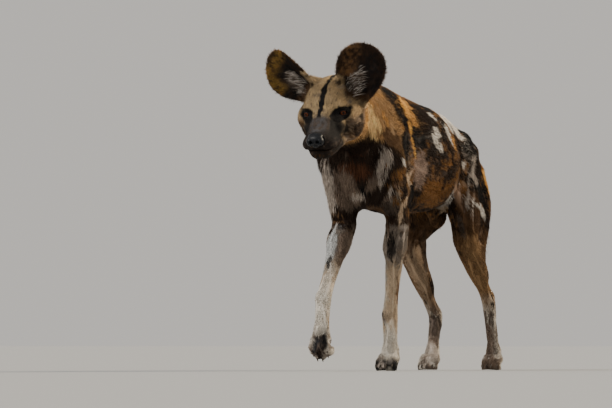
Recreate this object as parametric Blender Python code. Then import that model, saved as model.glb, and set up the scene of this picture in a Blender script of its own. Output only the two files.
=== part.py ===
"""African wild dog in a slow walk, as a life-size museum model.

The animal faces -Y, its left side is +X and the floor is z = 0. Lengths are in metres.
Flesh is a field of distances: tubes and lumps are blended into it like clay, and its zero
surface becomes a mesh. The mesh is thinned and then parted by thin cuts.
"""

import math

import bpy
import bmesh
import numpy as np
from mathutils import Matrix, Vector

# Driving dimensions of the animal.
GAP = 0.0003
HUMERUS = 0.186
RADIUS = 0.222
FEMUR = 0.212
TIBIA = 0.240
EAR_HEIGHT = 0.129
EAR_HALF_WIDTH = 0.058
EAR_THICKNESS = 0.0045
EYE_RADIUS = 0.0112

# Cell sizes of the fields, and how many triangles each fused body keeps.
BODY_CELL = 0.003
HEAD_CELL = 0.0015
PAW_CELL = 0.0014
BODY_TRIANGLES = 4500
HEAD_TRIANGLES = 4400
PAW_TRIANGLES = 370
TAIL_TRIANGLES = 200

# The widest reach of a blend. Nothing further from the body than this is ever asked for.
REACH = 0.036

# The head's own frame has its origin between the eyes, and faces -Y before it is turned.
HEAD_PLACE = Vector((0.004, -0.350, 0.614))
HEAD_YAW = math.radians(8)
HEAD_PITCH = math.radians(18)
HEAD_ROLL = math.radians(-2)

# Trunk sections: place along the body, top, bottom, height of the widest line, half width.
TRUNK = (
    (-0.165, 0.585, 0.470, 0.528, 0.038),
    (-0.138, 0.632, 0.432, 0.520, 0.056),
    (-0.100, 0.662, 0.402, 0.515, 0.070),
    (-0.030, 0.684, 0.386, 0.500, 0.080),
    (0.055, 0.678, 0.384, 0.495, 0.088),
    (0.145, 0.664, 0.386, 0.490, 0.094),
    (0.240, 0.655, 0.394, 0.495, 0.088),
    (0.310, 0.643, 0.418, 0.510, 0.074),
    (0.385, 0.611, 0.450, 0.506, 0.058),
    (0.440, 0.585, 0.470, 0.504, 0.044),
    (0.480, 0.562, 0.490, 0.512, 0.032),
)

# Neck sections: centre, half width, half height down and half height up.
NECK = (
    ((0.000, 0.010, 0.575), 0.060, 0.105, 0.104),
    ((0.000, -0.075, 0.592), 0.066, 0.112, 0.098),
    ((0.000, -0.140, 0.604), 0.064, 0.100, 0.086),
    ((0.001, -0.200, 0.614), 0.060, 0.084, 0.075),
    ((0.002, -0.250, 0.622), 0.057, 0.072, 0.066),
    ((0.003, -0.290, 0.622), 0.050, 0.055, 0.052),
)

# The tail's root, which belongs to the trunk, and its core under the brush: centre and half size.
TAIL_ROOT = (
    ((0.000, 0.450, 0.540), 0.024),
    ((0.000, 0.485, 0.548), 0.023),
    ((0.000, 0.515, 0.544), 0.022),
    ((0.000, 0.543, 0.524), 0.021),
    ((0.001, 0.562, 0.484), 0.020),
)
TAIL_CORE = (
    ((0.000, 0.500, 0.548), 0.022),
    ((0.000, 0.522, 0.541), 0.022),
    ((0.000, 0.543, 0.524), 0.021),
    ((0.001, 0.562, 0.484), 0.018),
    ((0.003, 0.571, 0.435), 0.0165),
    ((0.005, 0.572, 0.380), 0.0160),
    ((0.007, 0.569, 0.340), 0.0120),
    ((0.008, 0.567, 0.316), 0.0060),
)

# The brush: rows of locks down the tail, from row 2.7 of the core on, and locks in each row.
BRUSH_START = 2.7
BRUSH_END = 6.6
BRUSH_ROWS = 6
BRUSH_AROUND = 4
LOCK_LENGTH = 0.084
LOCK_WIDTH = 0.030
LOCK_THICKNESS = 0.0064
LOCK_LIFT = math.radians(33)

# Girths along a leg: how far down its joints (0 blade or hip crest, 1 shoulder or hip,
# 2 elbow or knee, 3 wrist or hock, 4 knuckle), then the half size across, to the front, to the back.
FORE_GIRTHS = (
    (0.00, 0.016, 0.026, 0.034),
    (0.50, 0.027, 0.036, 0.048),
    (1.00, 0.034, 0.037, 0.050),
    (1.45, 0.031, 0.031, 0.048),
    (1.80, 0.027, 0.026, 0.036),
    (2.00, 0.025, 0.024, 0.029),
    (2.20, 0.0238, 0.0238, 0.0245),
    (2.45, 0.0200, 0.0210, 0.0205),
    (2.75, 0.0162, 0.0172, 0.0168),
    (2.92, 0.0172, 0.0176, 0.0175),
    (3.02, 0.0190, 0.0180, 0.0190),
    (3.18, 0.0182, 0.0162, 0.0180),
    (3.50, 0.0176, 0.0148, 0.0160),
    (3.85, 0.0195, 0.0148, 0.0165),
    (4.00, 0.0200, 0.0140, 0.0150),
)
HIND_GIRTHS = (
    (0.00, 0.018, 0.030, 0.026),
    (0.50, 0.028, 0.048, 0.048),
    (1.00, 0.035, 0.060, 0.066),
    (1.35, 0.037, 0.059, 0.074),
    (1.70, 0.034, 0.040, 0.064),
    (1.90, 0.029, 0.024, 0.048),
    (2.00, 0.027, 0.021, 0.042),
    (2.20, 0.0240, 0.0240, 0.034),
    (2.50, 0.0185, 0.0180, 0.024),
    (2.80, 0.0142, 0.0148, 0.0165),
    (2.95, 0.0150, 0.0152, 0.0165),
    (3.10, 0.0160, 0.0156, 0.0172),
    (3.35, 0.0145, 0.0142, 0.0152),
    (3.70, 0.0150, 0.0132, 0.0138),
    (3.90, 0.0170, 0.0132, 0.0138),
    (4.00, 0.0175, 0.0128, 0.0135),
)

# Each leg: its blade or hip crest, top joint, wrist or hock, knuckle, and the way its toes point.
# "out" is how far its elbow or knee is pushed away from the body's middle.
LEGS = {
    "fore_leg_left": {
        "upper": HUMERUS, "lower": RADIUS, "bend": 1, "girths": FORE_GIRTHS, "paw": 1.0,
        "crest": (0.036, -0.006, 0.635), "top": (0.061, -0.102, 0.523),
        "wrist": (0.009, 0.022, 0.138), "out": 0.016,
        "knuckle": (0.012, 0.018, 0.031), "toes": (0.03, -1.0, -0.10),
    },
    "fore_leg_right": {
        "upper": HUMERUS, "lower": RADIUS, "bend": 1, "girths": FORE_GIRTHS, "paw": 1.0,
        "crest": (-0.036, -0.010, 0.635), "top": (-0.066, -0.148, 0.532),
        "wrist": (-0.048, -0.244, 0.176), "out": 0.0,
        "knuckle": (-0.053, -0.248, 0.083), "toes": (-0.07, -0.20, -0.97),
    },
    "hind_leg_left": {
        "upper": FEMUR, "lower": TIBIA, "bend": -1, "girths": HIND_GIRTHS, "paw": 0.92,
        "crest": (0.028, 0.330, 0.552), "top": (0.048, 0.385, 0.526),
        "wrist": (0.061, 0.514, 0.172), "out": 0.022,
        "knuckle": (0.057, 0.564, 0.029), "toes": (0.06, -1.0, -0.10),
    },
    "hind_leg_right": {
        "upper": FEMUR, "lower": TIBIA, "bend": -1, "girths": HIND_GIRTHS, "paw": 0.92,
        "crest": (-0.028, 0.325, 0.555), "top": (-0.050, 0.376, 0.524),
        "wrist": (-0.091, 0.532, 0.130), "out": 0.028,
        "knuckle": (-0.071, 0.460, 0.029), "toes": (-0.02, -1.0, -0.10),
    },
}
TOE_SPREAD = (-0.0190, -0.0066, 0.0066, 0.0190)
TOE_LENGTH = (0.036, 0.047, 0.047, 0.036)

# Muzzle and jaw sections in the head's frame: place, top, bottom, widest height, half width.
MUZZLE = (
    (0.035, 0.022, -0.060, -0.028, 0.052),
    (0.000, 0.016, -0.063, -0.030, 0.045),
    (-0.030, 0.004, -0.064, -0.033, 0.038),
    (-0.055, -0.008, -0.065, -0.039, 0.0340),
    (-0.070, -0.013, -0.064, -0.042, 0.0315),
)
JAW = (
    (0.055, -0.030, -0.080, -0.055, 0.045),
    (0.020, -0.045, -0.086, -0.062, 0.042),
    (-0.020, -0.050, -0.090, -0.066, 0.036),
    (-0.052, -0.054, -0.092, -0.071, 0.0285),
    (-0.068, -0.058, -0.089, -0.073, 0.0225),
)
EYE_PLACE = Vector((0.0420, 0.0085, 0.0000))
EYE_FACING = Vector((0.50, -1.0, 0.12)).normalized()

# The ears: middle of the base in the head's frame, then the way up and the way the cup faces.
EARS = {
    "ear_left": ((0.061, 0.050, 0.027), (0.285, 0.100, 0.930), (0.45, -0.89, 0.02)),
    "ear_right": ((-0.060, 0.052, 0.036), (-0.730, -0.180, 0.655), (-0.46, -0.88, -0.20)),
}


def clear_scene():
    for thing in list(bpy.data.objects):
        bpy.data.objects.remove(thing)


def new_object(name, mesh):
    made = bpy.data.objects.new(name, mesh)
    bpy.context.scene.collection.objects.link(made)
    return made


def smooth_between(values, where):
    """Catmull-Rom through rows of numbers, at a place counted in rows."""
    rows = np.asarray(values, float)
    k = min(int(where), len(rows) - 2)
    t = where - k
    a, b = rows[k], rows[k + 1]
    before = rows[k - 1] if k else 2 * a - b
    after = rows[k + 2] if k + 2 < len(rows) else 2 * b - a
    return 0.5 * (
        2 * a + (b - before) * t + (2 * before - 5 * a + 4 * b - after) * t * t
        + (3 * a - before - 3 * b + after) * t ** 3
    )


class Field:
    """Distances to a growing body on a grid of cubes. They are below zero inside it."""

    def __init__(self, low, high, cell):
        self.low = np.array(low, float)
        self.cell = cell
        count = np.ceil((np.array(high) - self.low) / cell).astype(int) + 1
        self.values = np.full(count, REACH, np.float32)
        self.frame = Matrix.Identity(4)

    def window(self, places, margin):
        """The part of the grid that holds these places, and the corner it starts at."""
        places = np.asarray(places, float)
        first = np.floor((places.min(0) - margin - self.low) / self.cell).astype(int)
        last = np.ceil((places.max(0) + margin - self.low) / self.cell).astype(int) + 1
        first = np.clip(first, 0, self.values.shape)
        last = np.clip(last, 0, self.values.shape)
        return first, last

    def grid(self, first, last):
        axes = [self.low[i] + self.cell * np.arange(first[i], last[i]) for i in range(3)]
        return [a.astype(np.float32) for a in np.meshgrid(*axes, indexing="ij")]

    def join(self, first, last, distance, blend):
        """Blends a form in, as clay is smoothed over a seam this wide."""
        window = tuple(slice(a, b) for a, b in zip(first, last))
        held = self.values[window]
        share = np.clip(0.5 + 0.5 * (held - distance) / blend, 0, 1)
        self.values[window] = held + (distance - held) * share - blend * share * (1 - share)

    def lump(self, centre, radii, turn=(0, 0, 0), blend=0.02):
        """An ellipsoid, turned by angles in degrees about X, Y and Z."""
        angles = [math.radians(a) for a in turn]
        spin = Matrix.Rotation(angles[2], 3, "Z") @ Matrix.Rotation(angles[1], 3, "Y")
        spin = self.frame.to_3x3() @ spin @ Matrix.Rotation(angles[0], 3, "X")
        middle = self.frame @ Vector(centre)
        first, last = self.window([middle], max(radii) + REACH)
        if (first >= last).any():
            return
        offset = [g - m for g, m in zip(self.grid(first, last), middle)]
        scaled = 0
        for axis, radius in enumerate(radii):
            way = spin.col[axis]
            scaled = scaled + (sum(o * w for o, w in zip(offset, way)) / radius) ** 2
        ratio = np.sqrt(scaled) + 1e-6
        length = np.sqrt(sum(o * o for o in offset)) + 1e-6
        self.join(first, last, length * (1 - 1 / ratio), blend)

    def tube(self, stations, across, steps=4, blend=0.02):
        """A tube through stations: a centre, a half size across, to the front and to the back."""
        rows = []
        for centre, side, front, back in stations:
            rows.append(list(self.frame @ Vector(centre)) + [side, front, back])
        across = self.frame.to_3x3() @ Vector(across)
        count = (len(rows) - 1) * steps
        samples = np.array([smooth_between(rows, (len(rows) - 1) * n / count) for n in range(count + 1)])
        margin = samples[:, 3:].max() + REACH
        first, last = self.window(samples[:, :3], margin)
        if (first >= last).any():
            return
        whole = np.full(last - first, REACH, np.float32)
        for here, after in zip(samples[:-1], samples[1:]):
            low, high = self.window([here[:3], after[:3]], max(here[3:].max(), after[3:].max()) + REACH)
            if (low >= high).any():
                continue
            piece = tuple(slice(a - f, b - f) for a, b, f in zip(low, high, first))
            distance = self.link(self.grid(low, high), here, after, across)
            whole[piece] = np.minimum(whole[piece], distance)
        self.join(first, last, whole, blend)

    def link(self, grid, here, after, across):
        """Distance to one short piece of a tube."""
        run = Vector(after[:3] - here[:3])
        along = run.normalized()
        side = (across - along * along.dot(across)).normalized()
        front = along.cross(side)
        offset = [g - h for g, h in zip(grid, here[:3])]
        done = np.clip(sum(o * r for o, r in zip(offset, run)) / run.length_squared, 0, 1)
        away = [o - done * r for o, r in zip(offset, run)]
        wide, ahead, behind = [a + (b - a) * done for a, b in zip(here[3:], after[3:])]
        s, f, l = [sum(a * w for a, w in zip(away, way)) for way in (side, front, along)]
        deep = np.where(f > 0, ahead, behind)
        ratio = np.sqrt((s / wide) ** 2 + (f / deep) ** 2 + (l / np.minimum(wide, deep)) ** 2) + 1e-6
        length = np.sqrt(s * s + f * f + l * l) + 1e-6
        return length * (1 - 1 / ratio)

    def local(self, middle, radius):
        """The window around a place, with its points in the frame in use."""
        first, last = self.window([self.frame @ Vector(middle)], radius)
        grid = self.grid(first, last)
        back = self.frame.inverted()
        points = [sum(back[r][c] * grid[c] for c in range(3)) + back[r][3] for r in range(3)]
        return first, last, points

    def fill_touching(self):
        """Fills the places where the surface would touch itself along an edge or at a corner."""
        inside = self.values < 0
        cells = [n - 1 for n in inside.shape]
        for _ in range(12):
            bad = np.zeros_like(inside)
            for one, two in ((0, 1), (0, 2), (1, 2)):
                parts = []
                for i, j in ((0, 0), (1, 1), (0, 1), (1, 0)):
                    part = [slice(None)] * 3
                    part[one] = slice(i, cells[one] + i)
                    part[two] = slice(j, cells[two] + j)
                    parts.append(tuple(part))
                a, b, c, d = [inside[part] for part in parts]
                crossed = (a == b) & (c == d) & (a != c)
                for part in parts:
                    bad[part] |= crossed
            if not bad.any():
                break
            inside |= bad
        self.values[inside & (self.values >= 0)] = -0.15 * self.cell

    def surface(self, name):
        """The zero surface as a mesh: one vertex in each cell that it passes, joined by squares."""
        self.fill_touching()
        inside = self.values < 0
        for axis in range(3):
            for end in (0, -1):
                edge = [slice(None)] * 3
                edge[axis] = end
                inside[tuple(edge)] = False
                self.values[tuple(edge)] = np.maximum(self.values[tuple(edge)], self.cell / 2)
        cells = [n - 1 for n in inside.shape]
        corners = [(i, j, k) for i in (0, 1) for j in (0, 1) for k in (0, 1)]
        count = np.zeros(cells, np.int8)
        for i, j, k in corners:
            count += inside[i:i + cells[0], j:j + cells[1], k:k + cells[2]]
        crossed = np.argwhere((count > 0) & (count < 8))
        sums = np.zeros((len(crossed), 3))
        found = np.zeros(len(crossed))
        for corner in corners:
            for axis in range(3):
                if corner[axis]:
                    continue
                other = list(corner)
                other[axis] = 1
                a = self.values[tuple((crossed + corner).T)]
                b = self.values[tuple((crossed + other).T)]
                cut = (a < 0) != (b < 0)
                share = np.where(cut, a / np.where(cut, a - b, 1), 0)
                point = np.array(corner, float) + share[:, None] * (np.array(other) - corner)
                sums += point * cut[:, None]
                found += cut
        places = self.low + self.cell * (crossed + sums / found[:, None])
        number = np.full(cells, -1, np.int32)
        number[tuple(crossed.T)] = np.arange(len(crossed))
        faces = []
        for axis in range(3):
            one, two = (axis + 1) % 3, (axis + 2) % 3
            ahead = np.roll(inside, -1, axis)
            edges = np.argwhere(inside != ahead)
            keep = (edges[:, axis] < cells[axis]) & (edges[:, one] > 0) & (edges[:, two] > 0)
            keep &= (edges[:, one] < cells[one]) & (edges[:, two] < cells[two])
            edges = edges[keep]
            outward = inside[tuple(edges.T)]
            around = []
            for back_one, back_two in ((1, 1), (0, 1), (0, 0), (1, 0)):
                cell = edges.copy()
                cell[:, one] -= back_one
                cell[:, two] -= back_two
                around.append(number[tuple(cell.T)])
            squares = np.stack(around, 1)
            faces.append(np.where(outward[:, None], squares, squares[:, ::-1]))
        mesh = bpy.data.meshes.new(name)
        mesh.from_pydata(places, [], np.concatenate(faces).tolist())
        return mesh


def trunk_forms(field):
    stations = []
    for along, top, bottom, widest, half in TRUNK:
        stations.append(((0.0, along, widest), half, widest - bottom, top - widest))
    field.tube(stations, across=(1, 0, 0))
    field.lump((0, -0.138, 0.480), (0.036, 0.050, 0.062), blend=0.030)
    field.lump((0, 0.330, 0.408), (0.015, 0.050, 0.024), (12, 0, 0), blend=0.025)
    field.lump((0, 0.302, 0.392), (0.012, 0.024, 0.017), (14, 0, 0), blend=0.012)
    field.lump((0, 0.462, 0.450), (0.020, 0.018, 0.024), (-20, 0, 0), blend=0.014)
    stations = [(centre, half, half, half) for centre, half in TAIL_ROOT]
    field.tube(stations, across=(1, 0, 0), blend=0.022)


def two_bone(top, end, upper, lower, bend):
    """Where the elbow or knee is. It bends to the back (1) or to the front (-1)."""
    top, end = Vector(top), Vector(end)
    span = end - top
    reach = min(span.length, (upper + lower) * 0.999)
    along = span.normalized()
    run = (upper ** 2 - lower ** 2 + reach ** 2) / (2 * reach)
    rise = math.sqrt(max(upper ** 2 - run ** 2, 0))
    out = Vector((0, bend, 0)) - along * (bend * along.y)
    return top + along * run + out.normalized() * rise


def leg_joints(leg):
    middle = two_bone(leg["top"], leg["wrist"], leg["upper"], leg["lower"], leg["bend"])
    middle.x += math.copysign(leg["out"], middle.x)
    return [Vector(leg["crest"]), Vector(leg["top"]), middle, Vector(leg["wrist"]), Vector(leg["knuckle"])]


def leg_forms(field, name):
    leg = LEGS[name]
    joints = leg_joints(leg)
    stations = []
    for down, side, front, back in leg["girths"]:
        k = min(int(down), 3)
        centre = joints[k].lerp(joints[k + 1], down - k)
        stations.append((centre, side, front, back, down))
    upper = [s[:4] for s in stations if s[4] <= 2.2]
    lower = [s[:4] for s in stations if s[4] >= 1.9]
    field.tube(upper, across=(1, 0, 0), steps=3, blend=0.034)
    field.tube(lower, across=(1, 0, 0), steps=3, blend=0.014)
    if name.startswith("hind"):
        hind_forms(field, joints)
    else:
        fore_forms(field, joints)


def fore_forms(field, joints):
    """The upper arm's back muscle, down to the point of the elbow, and the pad behind the wrist."""
    crest, top, elbow, wrist, _ = joints
    point = elbow + Vector((0, 0.024, 0.010))
    start = crest.lerp(top, 0.50) + Vector((0, 0.058, -0.012))
    stations = [
        (start, 0.022, 0.036, 0.032),
        (start.lerp(point, 0.40), 0.028, 0.044, 0.032),
        (start.lerp(point, 0.75), 0.023, 0.030, 0.022),
        (start.lerp(point, 0.93), 0.016, 0.017, 0.013),
        (point, 0.011, 0.012, 0.010),
    ]
    field.tube(stations, across=(1, 0, 0), steps=3, blend=0.026)
    field.lump(top + Vector((0, -0.012, 0.000)), (0.026, 0.026, 0.034), blend=0.026)
    field.lump(elbow.lerp(wrist, 0.22) + Vector((0, -0.006, 0)), (0.022, 0.022, 0.040), (-14, 0, 0))
    field.lump(wrist + Vector((0, 0.013, -0.012)), (0.009, 0.009, 0.012), blend=0.006)
    field.lump(wrist + Vector((0, -0.008, 0.002)), (0.016, 0.010, 0.016), blend=0.008)


def hind_forms(field, joints):
    """The thigh's back muscle, the heel with its tendon, and the knee cap."""
    _, hip, knee, hock, knuckle = joints
    out = math.copysign(1, hip.x)
    seat = hip + Vector((-out * 0.006, 0.078, -0.030))
    calf = knee.lerp(hock, 0.30) + Vector((0, 0.020, 0))
    stations = [
        (seat, 0.028, 0.034, 0.026),
        (seat.lerp(calf, 0.35) + Vector((out * 0.006, 0.012, 0)), 0.033, 0.050, 0.032),
        (seat.lerp(calf, 0.70) + Vector((out * 0.004, 0.008, 0)), 0.028, 0.042, 0.028),
        (calf, 0.021, 0.030, 0.022),
        (knee.lerp(hock, 0.55) + Vector((0, 0.020, 0)), 0.0140, 0.020, 0.0140),
    ]
    field.tube(stations, across=(1, 0, 0), steps=3, blend=0.026)
    shank = (hock - knee).normalized()
    heel = hock + Vector((0, 0.022, 0.013))
    stations = [
        (knee.lerp(hock, 0.48) + Vector((0, 0.020, 0)), 0.0120, 0.014, 0.0120),
        (knee.lerp(hock, 0.75) + Vector((0, 0.019, 0.002)), 0.0070, 0.010, 0.0070),
        (heel - shank * 0.010, 0.0085, 0.011, 0.0075),
        (heel + Vector((0, 0.001, -0.006)), 0.0090, 0.012, 0.0080),
        (heel.lerp(knuckle, 0.30), 0.0095, 0.012, 0.0075),
    ]
    field.tube(stations, across=(1, 0, 0), steps=3, blend=0.008)
    field.lump(knee + Vector((0, -0.008, 0.004)), (0.018, 0.013, 0.026), blend=0.012)
    field.lump(knee.lerp(hip, 0.45) + Vector((out * 0.004, -0.017, 0)), (0.030, 0.032, 0.060), blend=0.03)


def paw_frame(leg):
    """The paw's own frame: origin at the knuckle, toes to -Y, back of the paw to +Z."""
    toes = Vector(leg["toes"]).normalized()
    side = Vector((1, 0, 0)) - toes * toes.x
    side.normalize()
    up = side.cross(-toes)
    turned = Matrix((side, -toes, up)).transposed().to_4x4()
    return Matrix.Translation(Vector(leg["knuckle"])) @ turned


def toe_tips(leg):
    """For each toe, the place of its tip and its spread, in the paw's frame."""
    scale = leg["paw"]
    return [(spread * scale, length * scale) for spread, length in zip(TOE_SPREAD, TOE_LENGTH)]


def paw_forms(field, leg):
    field.frame = paw_frame(leg)
    scale = leg["paw"]
    for spread, length in toe_tips(leg):
        stations = [
            ((spread * 0.60, 0.004, -0.001), 0.0088, 0.0088, 0.0090),
            ((spread * 0.85, -length * 0.35, 0.004), 0.0088, 0.0085, 0.0095),
            ((spread * 0.98, -length * 0.66, -0.003), 0.0086, 0.0082, 0.0095),
            ((spread * 1.04, -length * 0.96, -0.0160), 0.0076, 0.0078, 0.0075),
        ]
        field.tube(stations, across=(1, 0, 0), steps=3, blend=0.0035)
        field.lump((spread * 1.02, -length * 0.78, -0.0235), (0.0072, 0.0110, 0.0095), blend=0.003)
    field.lump((0, -0.004 * scale, -0.022), (0.018 * scale, 0.015, 0.0115), blend=0.003)
    field.lump((0, 0.002, -0.006), (0.0195 * scale, 0.014, 0.014), blend=0.010)
    field.frame = Matrix.Identity(4)


def head_frame():
    turn = Matrix.Rotation(HEAD_YAW, 4, "Z") @ Matrix.Rotation(HEAD_PITCH, 4, "X")
    return Matrix.Translation(HEAD_PLACE) @ turn @ Matrix.Rotation(HEAD_ROLL, 4, "Y")


def head_forms(field):
    field.frame = head_frame()
    for table, blend in ((MUZZLE, 0.012), (JAW, 0.010)):
        stations = []
        for along, top, bottom, widest, half in table:
            stations.append(((0, along, widest), half, top - widest, widest - bottom))
        field.tube(stations, across=(1, 0, 0), blend=blend)
    field.lump((0, 0.062, 0.010), (0.060, 0.074, 0.060), blend=0.02)
    field.lump((0, 0.028, 0.018), (0.043, 0.040, 0.037), blend=0.02)
    field.lump((0, 0.112, 0.000), (0.056, 0.058, 0.058), blend=0.03)
    field.lump((0, -0.020, 0.000), (0.020, 0.034, 0.014), (22, 0, 0), blend=0.016)
    for side in (1, -1):
        field.lump((side * 0.034, 0.012, 0.020), (0.021, 0.020, 0.013), (0, side * 14, 0), blend=0.010)
        field.lump((side * 0.050, 0.046, -0.014), (0.025, 0.044, 0.030), (0, 0, side * 16), blend=0.016)
        field.lump((side * 0.042, 0.058, -0.042), (0.030, 0.046, 0.036), blend=0.02)
        field.lump((side * 0.030, 0.000, -0.022), (0.018, 0.030, 0.018), (0, 0, side * 26), blend=0.014)
        field.lump((side * 0.017, -0.069, -0.050), (0.0165, 0.0225, 0.0160), blend=0.008)
        field.lump((side * 0.025, -0.045, -0.051), (0.0130, 0.040, 0.0150), (0, 0, side * 9), blend=0.010)
    field.frame = Matrix.Identity(4)


def nose_forms(field):
    """The nose pad with its nostrils, the mouth line under it, and the lips."""
    field.frame = head_frame()
    field.lump((0, -0.0920, -0.0335), (0.0205, 0.0150, 0.0130), blend=0.004)
    field.lump((0, -0.0970, -0.0385), (0.0215, 0.0105, 0.0120), blend=0.003)
    for side in (1, -1):
        field.lump((side * 0.0135, -0.0945, -0.0360), (0.0098, 0.0105, 0.0105), blend=0.003)
    first, last, (x, y, z) = field.local((0, -0.07, -0.04), 0.11)
    window = tuple(slice(a, b) for a, b in zip(first, last))
    values = field.values[window]
    side = np.abs(x)
    # A nostril: a short comma that opens forwards and to the side.
    turned = (side - 0.0095) * 0.80 + (z + 0.0365) * 0.60
    across = (z + 0.0365) * 0.80 - (side - 0.0095) * 0.60
    hole = (turned / 0.0048) ** 2 + (across / 0.0032) ** 2 + ((y + 0.1070) / 0.0120) ** 2
    values += 0.0075 * np.exp(-hole ** 2)
    # The slot that runs from the comma out to the side of the pad.
    slot = ((side - 0.0170) / 0.0055) ** 2 + ((z + 0.0385) / 0.0018) ** 2 + ((y + 0.0990) / 0.0090) ** 2
    values += 0.0030 * np.exp(-slot)
    # The groove down the middle of the pad and of the upper lip.
    values += 0.0016 * np.exp(-(x / 0.0014) ** 2) * (y < -0.085) * (z > -0.064)
    # The mouth line, from under the nose back to its corners.
    line = -0.0665 + 0.26 * np.clip(y + 0.062, 0, None)
    fade = 1 / (1 + np.exp((y + 0.010) / 0.003))
    values += 0.0024 * np.exp(-((z - line) / 0.0016) ** 2) * fade
    values -= 0.0008 * np.exp(-((z - line - 0.0060) / 0.0045) ** 2) * fade
    field.values[window] = values
    field.frame = Matrix.Identity(4)


def eye_place(side):
    return Vector((side * EYE_PLACE.x, EYE_PLACE.y, EYE_PLACE.z))


def eye_axes(side):
    """Across the eye, up it and out of it, in the head's frame."""
    out = Vector((side * EYE_FACING.x, EYE_FACING.y, EYE_FACING.z))
    across = Vector((0, 0, 1)).cross(out).normalized() * -1
    tilted = Matrix.Rotation(side * math.radians(-8), 3, out) @ across
    return tilted, out.cross(tilted) * (1 if out.cross(tilted).z > 0 else -1), out


def lid_forms(field):
    """Lids over the eyeball, with an almond opening and a fold above it."""
    for side in (1, -1):
        field.frame = head_frame()
        middle = eye_place(side)
        field.lump(middle, (EYE_RADIUS + 0.0036,) * 3, blend=0.006)
        across, up, out = eye_axes(side)
        first, last, (x, y, z) = field.local(middle, 0.035)
        window = tuple(slice(a, b) for a, b in zip(first, last))
        values = field.values[window]
        offset = (x - middle.x, y - middle.y, z - middle.z)
        a, u, o = [sum(f * w for f, w in zip(offset, way)) for way in (across, up, out)]
        front = o > 0
        opening = np.sqrt((a / 0.0108) ** 2 + (u / 0.0066) ** 2)
        wall = (opening - 1) * 0.0066
        values = np.where(front, np.maximum(values, -wall), values)
        fold = np.sqrt((a / 0.0165) ** 2 + ((u - 0.0015) / 0.0125) ** 2)
        values += np.where(front & (u > -0.004), 0.0013 * np.exp(-((fold - 1) / 0.10) ** 2), 0)
        field.values[window] = values
    field.frame = Matrix.Identity(4)


def ear_frame(name):
    """The ear's own frame: across it outwards, the way it faces, and up it."""
    base, up, faces = EARS[name]
    up = Vector(up).normalized()
    faces = Vector(faces)
    faces = (faces - up * up.dot(faces)).normalized()
    outward = faces.cross(up)
    if outward.x * (1 if name == "ear_left" else -1) < 0:
        outward.negate()
    turned = Matrix((outward, faces, up)).transposed().to_4x4()
    return Matrix.Translation(head_frame() @ Vector(base)) @ turned


def ear_forms(field, name):
    """A broad cupped leaf, with a round top and a funnel at its base."""
    field.frame = ear_frame(name)
    field.lump((0.000, -0.030, 0.000), (0.036, 0.020, 0.034), blend=0.018)
    first, last, (a, f, h) = field.local((0, 0, EAR_HEIGHT * 0.48), EAR_HEIGHT * 0.80)
    t = np.clip(h / EAR_HEIGHT, -0.15, 1)
    low = EAR_HALF_WIDTH * (0.66 + 0.34 * np.sin(np.clip(t / 0.56, -0.2, 1) * math.pi / 2))
    above = (h - EAR_HEIGHT * 0.56) / (EAR_HEIGHT * 0.44)
    shift = a + 0.004
    ratio = np.sqrt((shift / EAR_HALF_WIDTH) ** 2 + above ** 2) + 1e-6
    radial = np.sqrt(shift ** 2 + (h - EAR_HEIGHT * 0.56) ** 2) * (1 - 1 / ratio)
    outline = np.where(above > 0, radial, np.abs(a + 0.004 * np.clip(t / 0.56, 0, 1)) - low)
    depth = 0.030 - 0.016 * np.clip(t, 0, 1) ** 0.8
    bend = (a / EAR_HALF_WIDTH)
    sheet = -depth + depth * 1.15 * bend ** 2 - 0.010 * np.clip(t - 0.6, 0, 1)
    slope = 2 * depth * 1.15 * bend / EAR_HALF_WIDTH
    thick = EAR_THICKNESS * (1.35 - 0.50 * np.clip(t, 0, 1))
    leaf = np.abs(f - sheet) / np.sqrt(1 + slope ** 2) - thick / 2
    shape = np.maximum(np.maximum(leaf, outline), -0.016 - h)
    field.join(first, last, np.clip(shape, None, REACH), 0.006)
    # The doubled fold low on the outer margin.
    field.lump((0.0440, -0.0080, 0.030), (0.0036, 0.0060, 0.016), (0, 10, 0), blend=0.004)
    field.frame = Matrix.Identity(4)


def settled(body):
    """The object's mesh with its modifiers applied."""
    graph = bpy.context.evaluated_depsgraph_get()
    mesh = bpy.data.meshes.new_from_object(body.evaluated_get(graph))
    body.modifiers.clear()
    old = body.data
    body.data = mesh
    bpy.data.meshes.remove(old)
    return body


def fleshed(name, field, rounds, triangles):
    """A field's surface as an object, evened out and thinned where it bends least."""
    body = new_object(name, field.surface(name))
    smooth = body.modifiers.new("Even", "SMOOTH")
    smooth.factor = 0.5
    smooth.iterations = rounds
    settled(body)
    body.data.calc_loop_triangles()
    thin = body.modifiers.new("Thin", "DECIMATE")
    thin.ratio = min(1.0, triangles / len(body.data.loop_triangles))
    return settled(body)


def box_mesh(name, boxes):
    """Boxes as one mesh: each is a frame and a half size along its axes."""
    points = []
    faces = []
    for frame, half in boxes:
        start = len(points)
        for i in (-1, 1):
            for j in (-1, 1):
                for k in (-1, 1):
                    points.append(frame @ Vector((i * half[0], j * half[1], k * half[2])))
        # The left ear's frame is mirrored, so its box is wound the other way.
        order = -1 if frame.determinant() < 0 else 1
        for face in ((0, 1, 3, 2), (4, 6, 7, 5), (0, 4, 5, 1), (2, 3, 7, 6), (0, 2, 6, 4), (1, 5, 7, 3)):
            faces.append(tuple(start + n for n in face[::order]))
    mesh = bpy.data.meshes.new(name)
    mesh.from_pydata(points, [], faces)
    return mesh


def carved(body, cutter_mesh):
    """The body less the cutter."""
    cutter = new_object("cutter", cutter_mesh)
    cut = body.modifiers.new("Cut", "BOOLEAN")
    cut.operation = "DIFFERENCE"
    cut.solver = "EXACT"
    cut.object = cutter
    settled(body)
    bpy.data.objects.remove(cutter)
    return body


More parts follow.
